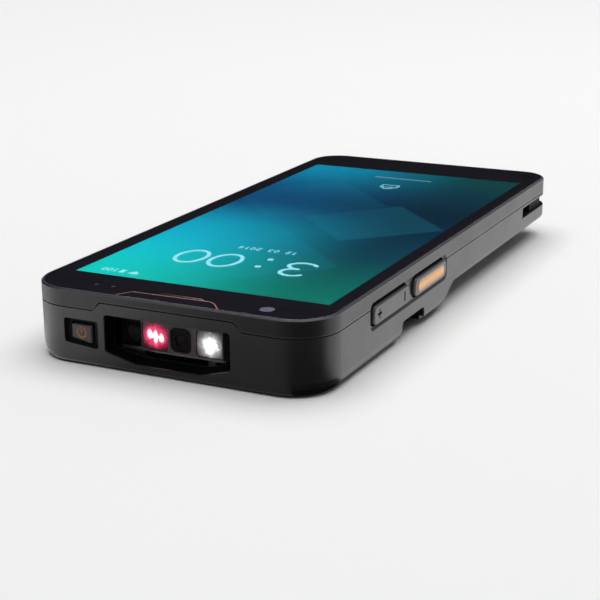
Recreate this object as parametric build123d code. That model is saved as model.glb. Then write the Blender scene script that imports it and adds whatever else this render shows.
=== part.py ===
from build123d import *
import os
from math import asin, cos, radians, sin, sqrt, tan

# A handheld barcode terminal lying on its back. Millimetres.
# The origin is the middle of the resting plane. +X is the side with the volume rocker, -Y is the
# scanning head, +Y is the tail with the USB inlet, and +Z leaves through the screen.

os.makedirs("parts", exist_ok=True)

# ---------------------------------------------------------------- overall sizes
active_width = 64.8  # the screen's picture, which sets the body's plan
active_length = 129.6
side_border = 4.5  # picture to the body's side
head_border = 14.0
tail_border = 15.0
head_corner_radius = 10.2
tail_corner_radius = 8.2
head_length = 43.0  # head face to the battery bay
tail_length = 26.3  # battery bay to the tail face
parting_over_board = 1.2  # the parting line, with the rear housing below and the front frame above
thin_underside = 5.3  # height of the side strips beside the battery, behind the head
skirt_underside = 2.4  # height of the side skirts beside the latch notches
sweep_start = 67.3  # from the head face, where the skirt sweeps up to the thin underside
sweep_length = 16.0
head_side_round = 3.2
head_end_round = 1.2
thin_edge_round = 1.5
round_steps = 4  # facets that make up one rounded bottom edge
sweep_flat_share = 0.45  # the sweep's tangents, as shares of its length
sweep_turn_share = 0.4

# ---------------------------------------------------------------- walls and fits
wall = 1.6
front_wall = 2.4
floor_thickness = 1.4
joint_gap = 0.3  # between a moving piece and what it moves in
seat_gap = 0.1  # round a fixed piece in its pocket
parting_groove_height = 0.25
parting_groove_depth = 0.5
past = 1.0  # how far a cutter reaches past what it cuts
weld = 0.2  # how far joined forms overlap
round_ease = 0.05  # keeps a full-round end just short of a half circle
head_cavity_step = 0.4  # the head's cavity is narrower near the floor
cavity_corner = 1.0
blind_hole_floor = 0.3  # solid left under a blind screw hole

# ---------------------------------------------------------------- screen stack, from the top down
glass_thickness = 0.7
glass_edge = 0.15
rim_width = 0.65
rim_chamfer = 0.35
border_thickness = 0.1
gasket_thickness = 0.2
gasket_width = 1.6
display_thickness = 1.6
display_side_margin = 1.0
display_head_margin = 1.0
display_tail_margin = 4.8
chassis_thickness = 0.6
lip_width = 1.5
lip_thickness = 1.3  # the frame's lip under the display

# ---------------------------------------------------------------- scan opening in the head face
scan_opening_half_width = 15.8
scan_opening_below_parting = 0.45
scan_opening_side_bottom = 4.0
scan_opening_bottom = 2.0
scan_opening_flat_half_width = 8.2  # the level middle of the bottom edge
scan_opening_corner = 0.9
scan_opening_low_corner = 0.6
scan_opening_inset = 0.6  # the opening narrows towards the window
scan_sill_rise = 0.9
scan_side_rise = 0.6
scan_recess_depth = 3.2
window_thickness = 1.0
window_overlap = 0.7  # how far the window passes the narrow end of the opening
window_gasket_thickness = 0.3
window_frame_margin = 1.6  # solid housing round the window
window_frame_inset = 1.0  # where that solid starts, behind the head face
brow_height = 2.0  # the housing's front wall rises above the parting line over the window
brow_half_width_bottom = 18.6
brow_half_width_top = 16.6
brow_corner = 1.2
brow_thickness = 2.1

# ---------------------------------------------------------------- scan engine
engine_gap = 0.4  # window to engine face
engine_left = -9.3
engine_right = 11.4
engine_bottom = 4.1
engine_height = 6.8
engine_depth = 12.0
ranging_left = -15.0
ranging_setback = 1.2
ranging_depth = 8.0
ranging_lens_x = -12.1
ranging_lens_z = 6.9
ranging_lens_radius = 1.9
aimer_x = -5.7
aimer_width = 6.4
aimer_height = 6.2
imager_x = 0.85
imager_width = 5.2
imager_height = 5.6
imager_corner = 1.4
led_x = 7.9
led_width = 6.2
led_height = 5.8
optic_z = 7.4
optic_corner = 0.7
optic_seat_depth = 1.4
optic_setback = 0.3
imager_lens_radius = 1.5
lens_bulge = 0.3  # share of the lens radius
engine_board_thickness = 0.8
bracket_thickness = 0.8
bracket_foot = 4.0
bracket_leg_half = 1.0
bracket_foot_gap = 0.3  # between a foot and the engine's side
engine_screw_radius = 0.8

# ---------------------------------------------------------------- power button in the head face
power_pocket_left = -26.3
power_pocket_right = -17.4
power_pocket_top = 10.65
power_pocket_bottom_left = 5.0
power_pocket_bottom_right = 4.2
power_pocket_depth = 1.4
power_pocket_corner = 0.7
power_cap_left = -24.9
power_cap_right = -19.4
power_cap_top = 9.4
power_cap_bottom_left = 5.85
power_cap_bottom_right = 4.8
power_cap_setback = 0.7
power_cap_corner = 0.5
power_cap_edge = 0.3
power_cap_flange = 0.5
power_nub = 0.5
power_nub_radius = 1.2
power_switch_width = 5.0
power_switch_height = 4.0
power_switch_depth = 1.5
power_cap_flange_thickness = 0.8
power_travel = 0.5
power_symbol_radius = 1.3
power_symbol_stroke = 0.34
power_symbol_depth = 0.25
power_symbol_proud = 0.05
power_symbol_gap = 1.02  # the ring's opening at the top
power_bar_middle = 0.806  # from the ring's middle
power_bar_length = 1.43
power_board_margin = 0.6

# ---------------------------------------------------------------- side keys
rocker_start = 26.7  # from the head face
rocker_length = 20.7
key_spacing = 3.35  # rocker to trigger
trigger_length = 20.4
key_height = 4.5
key_over_parting = 0.5
key_corner = 1.8
key_proud = 0.4
key_gap = 0.5
key_edge = 0.5
key_flange = 0.7
key_flange_thickness = 0.7
key_travel = 0.6
key_bay_margin = 1.3
key_bay_top_margin = 1.0
key_bay_bottom_margin = 1.1
key_bay_depth = 0.55
key_bay_slope = 45
rocker_ear_length = 6.0
rocker_dish_start = 5.8
rocker_dish_length = 9.2
rocker_dish_depth = 0.5
rocker_dish_head_ramp = 2.5
rocker_dish_tail_ramp = 0.5
glyph_size = 2.0
glyph_stroke = 0.4
glyph_depth = 0.2
glyph_from_end = 3.1
insert_length = 16.6
insert_height = 3.1
insert_depth = 0.6
insert_proud = 0.15
insert_edge = 0.15
switch_board_thickness = 0.6
switch_radius = 1.6
switch_height = 0.5
switch_clearance = 0.1
switch_strip_below_parting = 0.2
switch_rib_margin = 0.6
switch_offset = 6.0  # volume switches, from the rocker's middle

# ---------------------------------------------------------------- glass openings and cameras
front_camera_x = 21.7
front_camera_from_head = 5.9
front_camera_radius = 1.75
front_camera_body = 6.0
front_camera_body_depth = 2.6
sensor_x = (-21.6, -17.2)
sensor_from_head = 6.6
sensor_radius = 0.55
sensor_depth = 1.0
sensor_gap = 0.05
lens_under_glass = 0.05
earpiece_length = 13.0
earpiece_width = 2.6
earpiece_height = 1.6
earpiece_from_head = 6.2
earpiece_slot_width = 0.8
earpiece_slot_corner = 0.381
rear_camera_x = -17.0
rear_camera_from_head = 28.5
rear_camera_body = 8.6
rear_camera_height = 5.2
rear_window_radius = 4.4
rear_window_thickness = 0.8
rear_window_setback = 0.3
rear_window_ledge = 0.9
flash_x = -5.5
flash_window_radius = 1.9
flash_body = 3.0
flash_height = 1.0

# ---------------------------------------------------------------- boards and what sits on them
board_over_bay = 0.7
board_thickness = 0.8
board_from_side = 7.3
board_from_head = 20.5
board_to_tail = 5.0
board_corner = 3.0
shield_height = 1.7
cpu_shield_length = 30.0
cpu_shield_width = 26.0
radio_shield_length = 22.0
radio_shield_width = 34.0
shield_edge = 0.3
shield_corner = 1.0
processor_shield_from_bay = 18.3
radio_shield_from_bay = 28.0
bay_ceiling = 1.0
board_screw_radius = 0.8
board_screw_head_radius = 1.5
board_screw_head_height = 0.6
board_post_radius = 2.2
board_post_offset = 1.0  # the rear posts, behind the bay's middle
loudspeaker_length = 15.0
loudspeaker_width = 11.0
loudspeaker_height = 4.0
loudspeaker_x = 18.0
loudspeaker_hole_radius = 0.6
loudspeaker_hole_pitch = 2.4
loudspeaker_hole_columns = 5
loudspeaker_hole_rows = 2
motor_radius = 4.0
motor_height = 2.7
motor_from_side = 12.9
motor_from_head = 16.5
antenna_length = 13.0
antenna_width = 20.0
antenna_height = 1.1
antenna_from_board_edge = 1.6
antenna_from_tail = 25.0

# ---------------------------------------------------------------- battery pack and its bay
bay_from_side = 5.2
bay_wall = 1.2
belly_from_side = 8.4
pack_lift = 0.3  # pack underside above the resting plane
pack_thickness = 8.7
pack_head_gap = 0.8
pack_wall = 1.0
pack_lid_thickness = 0.8
pack_corner = 1.4
hook_radius = 1.2
hook_length = 8.0
hook_x = 20.0
hook_height = 2.6  # height of the hinge line above the resting plane
hook_gap = 0.25
pack_open_angle = 30.0
pack_swing_gap = 0.1
hook_neck_height = 1.2
cell_gap = 0.3
latch_seat_wall = 0.85
cell_corner = 1.5
belly_edge = 0.8
contact_count = 4
contact_pitch = 3.0
contact_width = 1.8
contact_pin_radius = 0.6
contact_length = 4.0
contact_thickness = 0.2
connector_width = 14.0
connector_depth = 5.0
connector_recess = 0.4
notch_from_bay = 0.6  # from the bay's head wall
notch_length = 14.0
notch_top = 5.0
notch_depth = 3.4
notch_corner = 1.2
notch_flare = 0.4  # the notch's ends lean out below
notch_lean = 0.6
latch_window_overlap = 0.5
latch_length = 9.0
latch_height = 2.4
latch_reach = 2.2  # how far the latch stands out of the pack
latch_travel = 1.5
latch_guide = 5.0  # how far the latch reaches into the pack
latch_rib_count = 4
latch_rib_depth = 0.4
latch_height_above_rest = 3.5
latch_gap = 0.15
latch_bore = 3.6
spring_radius = 0.75
spring_wire = 0.18
spring_turns = 5

# ---------------------------------------------------------------- tail: USB inlet, strap slot, foot
usb_width = 8.9
usb_height = 3.2
usb_depth = 7.2
usb_wall = 0.3
usb_tongue_width = 6.7
usb_tongue_thickness = 0.7
usb_margin = 0.35
usb_setback = 0.9
usb_back_thickness = 0.6
usb_tongue_setback = 1.0
strap_from_tail = 26.1
strap_slot_below_parting = 0.6
strap_slot_height = 2.95
strap_recess = 1.0
strap_hole_length = 9.4
strap_tail_hole_width = 6.0
strap_post_width = 7.4
foot_inset = 3.2

# ---------------------------------------------------------------- housing screws
screw_radius = 0.8
screw_head_radius = 1.5
screw_head_height = 1.1
screw_recess = 0.4
screw_thread_depth = 1.0  # above the parting line, under the display's pocket
screw_post_radius = 2.6
screw_clearance = 0.12
screw_hex_radius = 0.75
screw_boss_drop = 1.8  # the frame's bosses hang below the parting line into the housing
screw_boss_radius = 2.2
screw_boss_overlap = 0.5  # how far a boss reaches up into the frame
thread_gap = 0.05
head_screw_from_side = 7.6
head_screw_from_head = 10.2
waist_screw_from_side = 3.4
waist_screw_y = (6.0, 44.0)
tail_screw_x = 17.0
tail_screw_from_tail = 8.8
drive_radius = 0.8
drive_depth = 0.5
drive_width = 0.35

# ---------------------------------------------------------------- derived places
side_x = active_width / 2 + side_border
tail_y = (head_border + active_length + tail_border) / 2
head_y = -tail_y
active_centre_y = (head_border - tail_border) / 2
bay_half_width = side_x - bay_from_side
belly_half_width = side_x - belly_from_side
bay_height = pack_lift + pack_thickness + joint_gap
bay_roof = bay_height + bay_ceiling
board_height = bay_roof + board_over_bay
board_top = board_height + board_thickness
board_half_width = side_x - board_from_side
parting_height = board_top + parting_over_board
body_height = (
    parting_height + lip_thickness + chassis_thickness + display_thickness + border_thickness + glass_thickness
)
scan_opening_top = parting_height - scan_opening_below_parting
key_top = parting_height + key_over_parting
key_face_x = side_x + key_proud
strap_slot_bottom = parting_height - strap_slot_below_parting - strap_slot_height
strap_slot_start = tail_y - strap_from_tail
antenna_x = -board_half_width + antenna_from_board_edge + antenna_width / 2
glass_bottom = body_height - glass_thickness
border_bottom = glass_bottom - border_thickness
ledge_height = border_bottom - gasket_thickness
display_bottom = border_bottom - display_thickness
chassis_bottom = display_bottom - chassis_thickness
display_head_y = active_centre_y - active_length / 2 - display_head_margin
display_tail_y = active_centre_y + active_length / 2 + display_tail_margin
display_half_width = active_width / 2 + display_side_margin
bay_head_y = head_y + head_length
bay_tail_y = tail_y - tail_length
pack_head_y = bay_head_y + pack_head_gap
pack_tail_y = bay_tail_y - joint_gap
pack_half_width = bay_half_width - joint_gap
pack_top = bay_height - joint_gap
pack_lid_bottom = pack_top - pack_lid_thickness
spring_seat_x = pack_half_width - latch_guide - latch_travel - latch_gap
cell_half_width = spring_seat_x - latch_seat_wall - cell_gap
rest_floor = floor_thickness
thin_floor = thin_underside + floor_thickness
window_seat_y = head_y + scan_recess_depth
window_front_y = window_seat_y + window_gasket_thickness
window_back_y = window_front_y + window_thickness
engine_face_y = window_back_y + engine_gap
key_middle_z = key_top - key_height / 2
rocker_middle_y = head_y + rocker_start + rocker_length / 2
trigger_start = rocker_start + rocker_length + key_spacing
trigger_middle_y = head_y + trigger_start + trigger_length / 2
inner_wall_x = side_x - wall
board_head_y = head_y + board_from_head
board_tail_y = tail_y - board_to_tail
notch_start_y = bay_head_y + notch_from_bay
notch_middle_y = notch_start_y + notch_length / 2
processor_shield_y = bay_head_y + processor_shield_from_bay
radio_shield_y = bay_tail_y - radio_shield_from_bay
camera_y = head_y + front_camera_from_head
rear_camera_y = head_y + rear_camera_from_head
usb_middle_z = board_height - usb_height / 2
hinge_y = bay_tail_y + hook_radius
power_middle_x = (power_cap_left + power_cap_right) / 2
power_middle_z = (power_cap_top + (power_cap_bottom_left + power_cap_bottom_right) / 2) / 2
power_switch_front_y = (
    head_y + front_wall + joint_gap + power_cap_flange_thickness + power_nub + power_travel + switch_clearance
)
sweep_start_y = head_y + sweep_start
key_back_x = inner_wall_x - joint_gap - key_flange_thickness
slot_inner_x = key_back_x - key_travel - joint_gap
strap_corner_x = side_x - strap_post_width
switch_strip_x = key_back_x - key_travel - switch_clearance - switch_height - switch_board_thickness
switch_strip_bottom = key_top - key_height - key_flange - joint_gap
switch_strip_top = parting_height - switch_strip_below_parting
screw_places = [
    (side * x, y, base)
    for side in (-1, 1)
    for x, y, base in (
        (side_x - head_screw_from_side, head_y + head_screw_from_head, 0.0),
        (side_x - waist_screw_from_side, waist_screw_y[0], thin_underside),
        (side_x - waist_screw_from_side, waist_screw_y[1], thin_underside),
        (tail_screw_x, tail_y - tail_screw_from_tail, 0.0),
    )
]


# ---------------------------------------------------------------- helpers
def block(x0, x1, y0, y1, z0, z1):
    """A box between two corners."""
    return Pos((x0 + x1) / 2, (y0 + y1) / 2, (z0 + z1) / 2) * Box(x1 - x0, y1 - y0, z1 - z0)


def rod(x, y, z0, z1, radius):
    """An upright cylinder."""
    return Pos(x, y, (z0 + z1) / 2) * Cylinder(radius, z1 - z0)


def slab(face, z0, z1):
    """A face drawn in plan, raised from z0 to z1."""
    return extrude(Pos(0, 0, z0) * face, amount=z1 - z0)


def along_y(face, y0, y1):
    """A face drawn in (x, z), extruded from y0 to y1."""
    return extrude(Plane((0, y1, 0), x_dir=(1, 0, 0), z_dir=(0, -1, 0)) * face, amount=y1 - y0)


def along_x(face, x0, x1):
    """A face drawn in (y, z), extruded from x0 to x1."""
    return extrude(Plane((x0, 0, 0), x_dir=(0, 1, 0), z_dir=(1, 0, 0)) * face, amount=x1 - x0)


def corners(*points):
    """A straight-edged face through the given corners."""
    return Polygon(*points, align=None)


def rounded(x0, x1, y0, y1, radius):
    """A rectangle between two corners, with all four corners rounded."""
    return Pos((x0 + x1) / 2, (y0 + y1) / 2) * RectangleRounded(x1 - x0, y1 - y0, radius)


def rounded_plan(half_width, y0, y1, head_radius, tail_radius):
    """A rectangle with one corner radius at the head and another at the tail."""
    face = Pos(0, (y0 + y1) / 2) * Rectangle(2 * half_width, y1 - y0)
    face = fillet(face.vertices().group_by(Axis.Y)[0], head_radius)
    return fillet(face.vertices().group_by(Axis.Y)[-1], tail_radius)


def plan(inset=0.0):
    """The terminal's outline from above, drawn in on every side."""
    return rounded_plan(
        side_x - inset,
        head_y + inset,
        tail_y - inset,
        head_corner_radius - inset,
        tail_corner_radius - inset,
    )


def edge_inset(height, radius):
    """How far a rounded bottom edge is drawn in at a height above its base."""
    if height >= radius:
        return 0.0
    return radius - sqrt(radius**2 - (radius - height) ** 2)


def tray(base, side_round, end_round, top):
    """A solid in plan outline, rounded along its bottom edge."""
    sections = []
    for step in range(round_steps + 1):
        angle = radians(90 * step / round_steps)
        height = side_round * (1 - cos(angle))
        side_inset = side_round * (1 - sin(angle))
        end_inset = edge_inset(height, end_round)
        corner_inset = (side_inset + end_inset) / 2
        section = rounded_plan(
            side_x - side_inset,
            head_y + end_inset,
            tail_y - end_inset,
            head_corner_radius - corner_inset,
            tail_corner_radius - corner_inset,
        )
        sections.append(Pos(0, 0, base + height) * section)
    return loft(sections, ruled=True) + slab(plan(), base + side_round, top)


def both_sides(piece):
    """A piece and its mirror image on the left side."""
    return piece + mirror(piece, Plane.YZ)


def write(node, piece):
    """One STEP file per node."""
    piece.label = node
    export_step(piece, f"parts/{node}.step")


# ---------------------------------------------------------------- shared cutters and outlines
def head_underside():
    """Side view of what the scanning head keeps: its full depth, the skirt, then a sweep up."""
    floor = -past
    lid = parting_height + past
    sweep_top = thin_underside + thin_edge_round
    sweep = Bezier(
        (sweep_start_y, skirt_underside),
        (sweep_start_y + sweep_length * sweep_flat_share, skirt_underside),
        (sweep_start_y + sweep_length * sweep_turn_share, sweep_top),
        (sweep_start_y + sweep_length, sweep_top),
    )
    lines = Polyline(
        (sweep_start_y + sweep_length, sweep_top),
        (sweep_start_y + sweep_length, lid),
        (head_y - past, lid),
        (head_y - past, floor),
        (notch_middle_y, floor),
        (notch_middle_y, skirt_underside),
        (sweep_start_y, skirt_underside),
    )
    return make_face(sweep + lines)


def scan_opening(inset, rise):
    """The scan opening in (x, z): straight sides, and a bottom edge that is level between two slopes."""
    half = scan_opening_half_width - inset
    flat_half = scan_opening_flat_half_width - inset
    top = scan_opening_top - inset / 2
    side_bottom = scan_opening_side_bottom + rise * scan_side_rise
    bottom = scan_opening_bottom + rise
    face = corners(
        (-flat_half, bottom),
        (flat_half, bottom),
        (half, side_bottom),
        (half, top),
        (-half, top),
        (-half, side_bottom),
    )
    face = fillet(face.vertices().group_by(Axis.Y)[-1], scan_opening_corner)
    low_corners = face.vertices().group_by(Axis.Y)[1]
    return fillet(low_corners, scan_opening_low_corner)


def brow(gap):
    """The raised part of the housing's front wall over the scan opening, in (x, z)."""
    top = parting_height + brow_height + gap
    face = corners(
        (-brow_half_width_bottom - gap, parting_height - gap),
        (brow_half_width_bottom + gap, parting_height - gap),
        (brow_half_width_top + gap, top),
        (-brow_half_width_top - gap, top),
    )
    return fillet(face.vertices().group_by(Axis.Y)[-1], brow_corner)


def key_outline(start, length, margin):
    """A side key in (y, z), grown by a margin."""
    return rounded(
        head_y + start - margin,
        head_y + start + length + margin,
        key_top - key_height - margin,
        key_top + margin,
        key_corner + margin,
    )


def key_bay(first_start, last_end):
    """The shallow bay with sloped edges that side keys sit in, on the right side."""
    y0 = head_y + first_start - key_bay_margin
    y1 = head_y + last_end + key_bay_margin
    z0 = key_top - key_height - key_bay_bottom_margin
    z1 = key_top + key_bay_top_margin
    shrink = key_bay_depth * tan(radians(key_bay_slope))
    side_plane = Plane((side_x, 0, 0), x_dir=(0, 1, 0), z_dir=(1, 0, 0))
    floor_plane = side_plane.offset(-key_bay_depth)
    mouth = side_plane * rounded(y0, y1, z0, z1, key_corner)
    floor = floor_plane * rounded(y0 + shrink, y1 - shrink, z0 + shrink, z1 - shrink, key_corner - shrink)
    return loft([floor, mouth], ruled=True)


def key_cutters():
    """The bays and slots for the rocker and trigger on the right, and the trigger on the left."""
    trigger_end = trigger_start + trigger_length
    trigger_slot = along_x(key_outline(trigger_start, trigger_length, key_gap), slot_inner_x, side_x + past)
    rocker_slot = along_x(key_outline(rocker_start, rocker_length, key_gap), slot_inner_x, side_x + past)
    right = key_bay(rocker_start, trigger_end) + trigger_slot + rocker_slot
    left = mirror(key_bay(trigger_start, trigger_end) + trigger_slot, Plane.YZ)
    return right + left


def belly_section(bottom, top):
    """The belly under the housing in (x, z), which the pack and the tail foot share."""
    flare = bay_half_width - joint_gap - belly_half_width
    return corners(
        (-belly_half_width, bottom),
        (belly_half_width, bottom),
        (belly_half_width + flare, thin_underside),
        (belly_half_width + flare, top),
        (-belly_half_width - flare, top),
        (-belly_half_width - flare, thin_underside),
    )


# ---------------------------------------------------------------- rear housing
def strap_slot():
    """The wrist-strap slot round the right tail corner: a recess, and a passage behind a post."""
    top = strap_slot_bottom + strap_slot_height
    around = slab(plan() - plan(strap_recess), strap_slot_bottom, top)
    passage_x = strap_corner_x - strap_tail_hole_width
    recess = around & block(passage_x, side_x, strap_slot_start, tail_y, strap_slot_bottom, top)
    side_hole_end = strap_slot_start + strap_hole_length
    side_hole = block(passage_x, side_x + past, strap_slot_start, side_hole_end, strap_slot_bottom, top)
    tail_hole = block(passage_x, strap_corner_x, strap_slot_start, tail_y + past, strap_slot_bottom, top)
    return recess + side_hole + tail_hole


def strap_block():
    """Solid housing round the strap passage."""
    face = plan(wall / 2) & (
        Pos(strap_corner_x - strap_tail_hole_width - wall, strap_slot_start - wall)
        * Rectangle(2 * side_x, 2 * tail_y, align=(Align.MIN, Align.MIN))
    )
    return slab(face, thin_floor, parting_height)


def hook_pockets():
    """The two pockets in the bay's tail wall that the pack's hooks turn in."""
    half = hook_length / 2 + hook_gap
    pockets = None
    for x in (-hook_x, hook_x):
        barrel = along_x(Pos(hinge_y, hook_height) * Circle(hook_radius + hook_gap), x - half, x + half)
        mouth_bottom = hook_height - hook_radius - hook_gap
        mouth_top = hook_height + hook_neck_height / 2 + hook_gap
        mouth = block(x - half, x + half, bay_tail_y - past, hinge_y, mouth_bottom, mouth_top)
        pockets = barrel + mouth if pockets is None else pockets + barrel + mouth
    return pockets


def latch_notches():
    """The finger notches in the lower edge of both sides, and the windows that the latches pass."""
    corner = notch_corner
    y0 = notch_start_y
    y1 = y0 + notch_length
    outline = corners(
        (y0 - notch_flare, -past),
        (y1 + notch_flare, -past),
        (y1, notch_top),
        (y0 + notch_lean, notch_top),
    )
    outline = fillet(outline.vertices().group_by(Axis.Y)[-1], corner)
    notch = along_x(outline, side_x - notch_depth, side_x + past)
    half = latch_length / 2 + key_gap
    window_top = latch_height_above_rest + latch_height / 2 + joint_gap
    window = block(
        bay_half_width - past, side_x - notch_depth + latch_window_overlap,
        notch_middle_y - half, notch_middle_y + half, -past, window_top,
    )
    return both_sides(notch + window)


def foot():
    """The housing's tail foot: the belly behind the battery bay."""
    foot_end = tail_y - foot_inset
    top = thin_underside + past
    foot_low_end = foot_end - thin_underside / 2
    side_view = corners((bay_tail_y, 0), (foot_low_end, 0), (foot_end, top), (bay_tail_y, top))
    body = along_y(belly_section(0, top), bay_tail_y, foot_end)
    return body & along_x(side_view, -side_x, side_x)


def usb_opening(margin):
    """The USB inlet's outline in (x, z)."""
    half = usb_width / 2 + margin
    low = usb_middle_z - usb_height / 2 - margin
    high = usb_middle_z + usb_height / 2 + margin
    return rounded(-half, half, low, high, usb_height / 2 + margin - round_ease)


def screw_holes():
    """Holes for the housing screws, counterbored from the underside."""
    holes = None
    for x, y, base in screw_places:
        shaft = rod(x, y, base - past, parting_height + past, screw_radius + screw_clearance)
        seat = base + screw_recess + screw_head_height
        head = rod(x, y, base - past, seat, screw_head_radius + screw_clearance)
        holes = shaft + head if holes is None else holes + shaft + head
    return holes


def speaker_holes():
    """The loudspeaker's grille in the housing's back."""
    centre_y = rear_camera_y
    holes = None
    for column in range(loudspeaker_hole_columns):
        for row in range(loudspeaker_hole_rows):
            x = loudspeaker_x + (column - (loudspeaker_hole_columns - 1) / 2) * loudspeaker_hole_pitch
            y = centre_y + (row - (loudspeaker_hole_rows - 1) / 2) * loudspeaker_hole_pitch
            hole = rod(x, y, -past, rest_floor + past, loudspeaker_hole_radius)
            holes = hole if holes is None else holes + hole
    return holes


def power_outline(left, right, top, bottom_left, bottom_right, margin, corner):
    """A four-sided outline in (x, z) whose bottom edge slopes, as the power button has."""
    face = corners(
        (left - margin, bottom_left - margin),
        (right + margin, bottom_right - margin),
        (right + margin, top + margin),
        (left - margin, top + margin),
    )
    return fillet(face.vertices(), corner + margin)


def power_cap_outline(margin):
    """The power cap's outline, grown by a margin."""
    return power_outline(
        power_cap_left, power_cap_right, power_cap_top, power_cap_bottom_left, power_cap_bottom_right,
        margin, power_cap_corner,
    )


def power_pocket():
    """The pocket round the power button and the slot that its cap passes."""
    pocket = power_outline(
        power_pocket_left, power_pocket_right, power_pocket_top,
        power_pocket_bottom_left, power_pocket_bottom_right, 0.0, power_pocket_corner,
    )
    dish = along_y(pocket, head_y - past, head_y + power_pocket_depth)
    return dish + along_y(power_cap_outline(joint_gap), head_y - past, head_y + front_wall + past)


def scan_recess():
    """The scan opening, which narrows to the window, and the window's seat behind it."""
    front = Plane((0, head_y, 0), x_dir=(1, 0, 0), z_dir=(0, -1, 0)) * scan_opening(0.0, 0.0)
    back = Plane((0, window_seat_y, 0), x_dir=(1, 0, 0), z_dir=(0, -1, 0)) * scan_opening(
        scan_opening_inset, scan_sill_rise
    )
    throat = loft([back, front], ruled=True)
    seat = along_y(window_outline(seat_gap), window_seat_y, window_back_y + past)
    return throat + seat


def window_outline(margin):
    """The scan window's outline in (x, z)."""
    half = scan_opening_half_width - scan_opening_inset + window_overlap + margin
    low = scan_opening_bottom + scan_sill_rise - window_overlap - margin
    high = scan_opening_top - scan_opening_inset / 2 + window_overlap + margin
    return rounded(-half, half, low, min(high, parting_height), scan_opening_corner)


def rear_housing():
    """The deep rear shell: scanning head, thin body, battery bay and tail foot."""
    beyond = side_x + past
    head = tray(0.0, head_side_round, head_end_round, parting_height)
    head &= along_x(head_underside(), -beyond, beyond)
    shell = head + tray(thin_underside, thin_edge_round, thin_edge_round, parting_height) + foot()

    above = parting_height + past
    shell -= slab(
        rounded_plan(
            inner_wall_x,
            head_y + front_wall,
            tail_y - wall,
            head_corner_radius - wall,
            tail_corner_radius - wall,
        ),
        thin_floor,
        above,
    )
    shell -= slab(
        rounded_plan(
            inner_wall_x - head_cavity_step,
            head_y + front_wall,
            bay_head_y - bay_wall,
            head_corner_radius - wall,
            cavity_corner,
        ),
        rest_floor,
        thin_floor + past,
    )
    foot_cavity_y = hinge_y + hook_radius + hook_gap + bay_wall
    foot_half = belly_half_width - wall
    foot_cavity_end = tail_y - foot_inset - wall - thin_underside / 2
    shell -= block(-foot_half, foot_half, foot_cavity_y, foot_cavity_end, rest_floor, thin_floor + past)

    shell += block(
        -bay_half_width - bay_wall, bay_half_width + bay_wall,
        bay_head_y - bay_wall, bay_tail_y + bay_wall, thin_floor - weld, bay_roof,
    )
    window_half = scan_opening_half_width + window_frame_margin
    frame_start = head_y + window_frame_inset
    frame_end = window_back_y + seat_gap
    shell += block(-window_half, window_half, frame_start, frame_end, rest_floor - weld, parting_height)
    shell += along_y(brow(0.0), head_y, head_y + brow_thickness)
    shell += strap_block()
    shell += housing_posts()
    shell += both_sides(switch_rib(trigger_start, trigger_length)) + switch_rib(rocker_start, rocker_length)

    shell -= both_sides(switch_pocket(trigger_start, trigger_length))
    shell -= switch_pocket(rocker_start, rocker_length)
    shell -= block(-bay_half_width, bay_half_width, bay_head_y, bay_tail_y, -past, bay_height)
    shell -= hook_pockets() + latch_notches() + strap_slot() + screw_holes() + speaker_holes()
    shell -= power_pocket() + scan_recess() + key_cutters()
    shell -= along_y(usb_opening(usb_margin), tail_y - wall - past, tail_y + past)
    shell -= rear_camera_openings() + engine_screw_holes() + board_screw_holes() + connector_slot()
    return shell


def housing_posts():
    """Posts inside the housing for its screws, the boards and the scan engine's bracket."""
    posts = None
    post_top = parting_height - screw_boss_drop - seat_gap
    for x, y, base in screw_places:
        post = rod(x, y, base + floor_thickness - weld, post_top, screw_post_radius)
        posts = post if posts is None else posts + post
    for x, y, low in board_post_places():
        posts += rod(x, y, low - weld, board_height, board_post_radius)
    for x in (-engine_screw_x(), engine_screw_x()):
        foot_top = engine_bottom - bracket_thickness
        posts += rod(x, engine_screw_y(), rest_floor - weld, foot_top, bracket_foot / 2)
    inside = slab(plan(wall / 2), 0, parting_height)
    return posts & inside


def switch_rib(start, length):
    """The ledge beside the right wall that a key's switch strip stands on."""
    y0 = head_y + start
    x0 = switch_strip_x - switch_rib_margin
    return block(x0, inner_wall_x + weld, y0, y0 + length, rest_floor, switch_strip_bottom)


def switch_pocket(start, length):
    """The space over a rib, cut into the side of the battery bay's wall."""
    y0 = head_y + start - seat_gap
    y1 = head_y + start + length + seat_gap
    return block(switch_strip_x - seat_gap, inner_wall_x, y0, y1, switch_strip_bottom, parting_height)


def board_post_places():
    """Where the main board is held: x, y and the floor under each post."""
    head_post_y = bay_head_y - bay_wall - board_post_radius - seat_gap
    bay_post_y = (bay_head_y + bay_tail_y) / 2 + board_post_offset
    return [
        (side * x, y, low)
        for side in (-1, 1)
        for x, y, low in (
            (board_half_width - board_post_radius, head_post_y, rest_floor),
            (board_half_width - 2 * board_post_radius, bay_post_y, bay_roof),
        )
    ]


def board_screw_holes():
    """Blind holes for the board screws."""
    holes = None
    for x, y, _ in board_post_places():
        hole = rod(x, y, board_height - board_screw_reach(), board_height + past, board_screw_radius)
        holes = hole if holes is None else holes + hole
    return holes


def board_screw_reach():
    """How deep the board screws go below the board, without piercing the bay's ceiling."""
    return board_height - bay_height - blind_hole_floor


def engine_screw_x():
    """The bracket's screws stand beside the scan engine."""
    return max(-ranging_left, engine_right) + bracket_foot / 2 + bracket_foot_gap


def engine_screw_y():
    return engine_face_y + engine_depth - bracket_foot / 2


def engine_screw_holes():
    """Blind holes for the bracket's screws."""
    holes = None
    for x in (-engine_screw_x(), engine_screw_x()):
        hole_low = rest_floor + blind_hole_floor
        hole = rod(x, engine_screw_y(), hole_low, engine_bottom + past, engine_screw_radius)
        holes = hole if holes is None else holes + hole
    return holes


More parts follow.
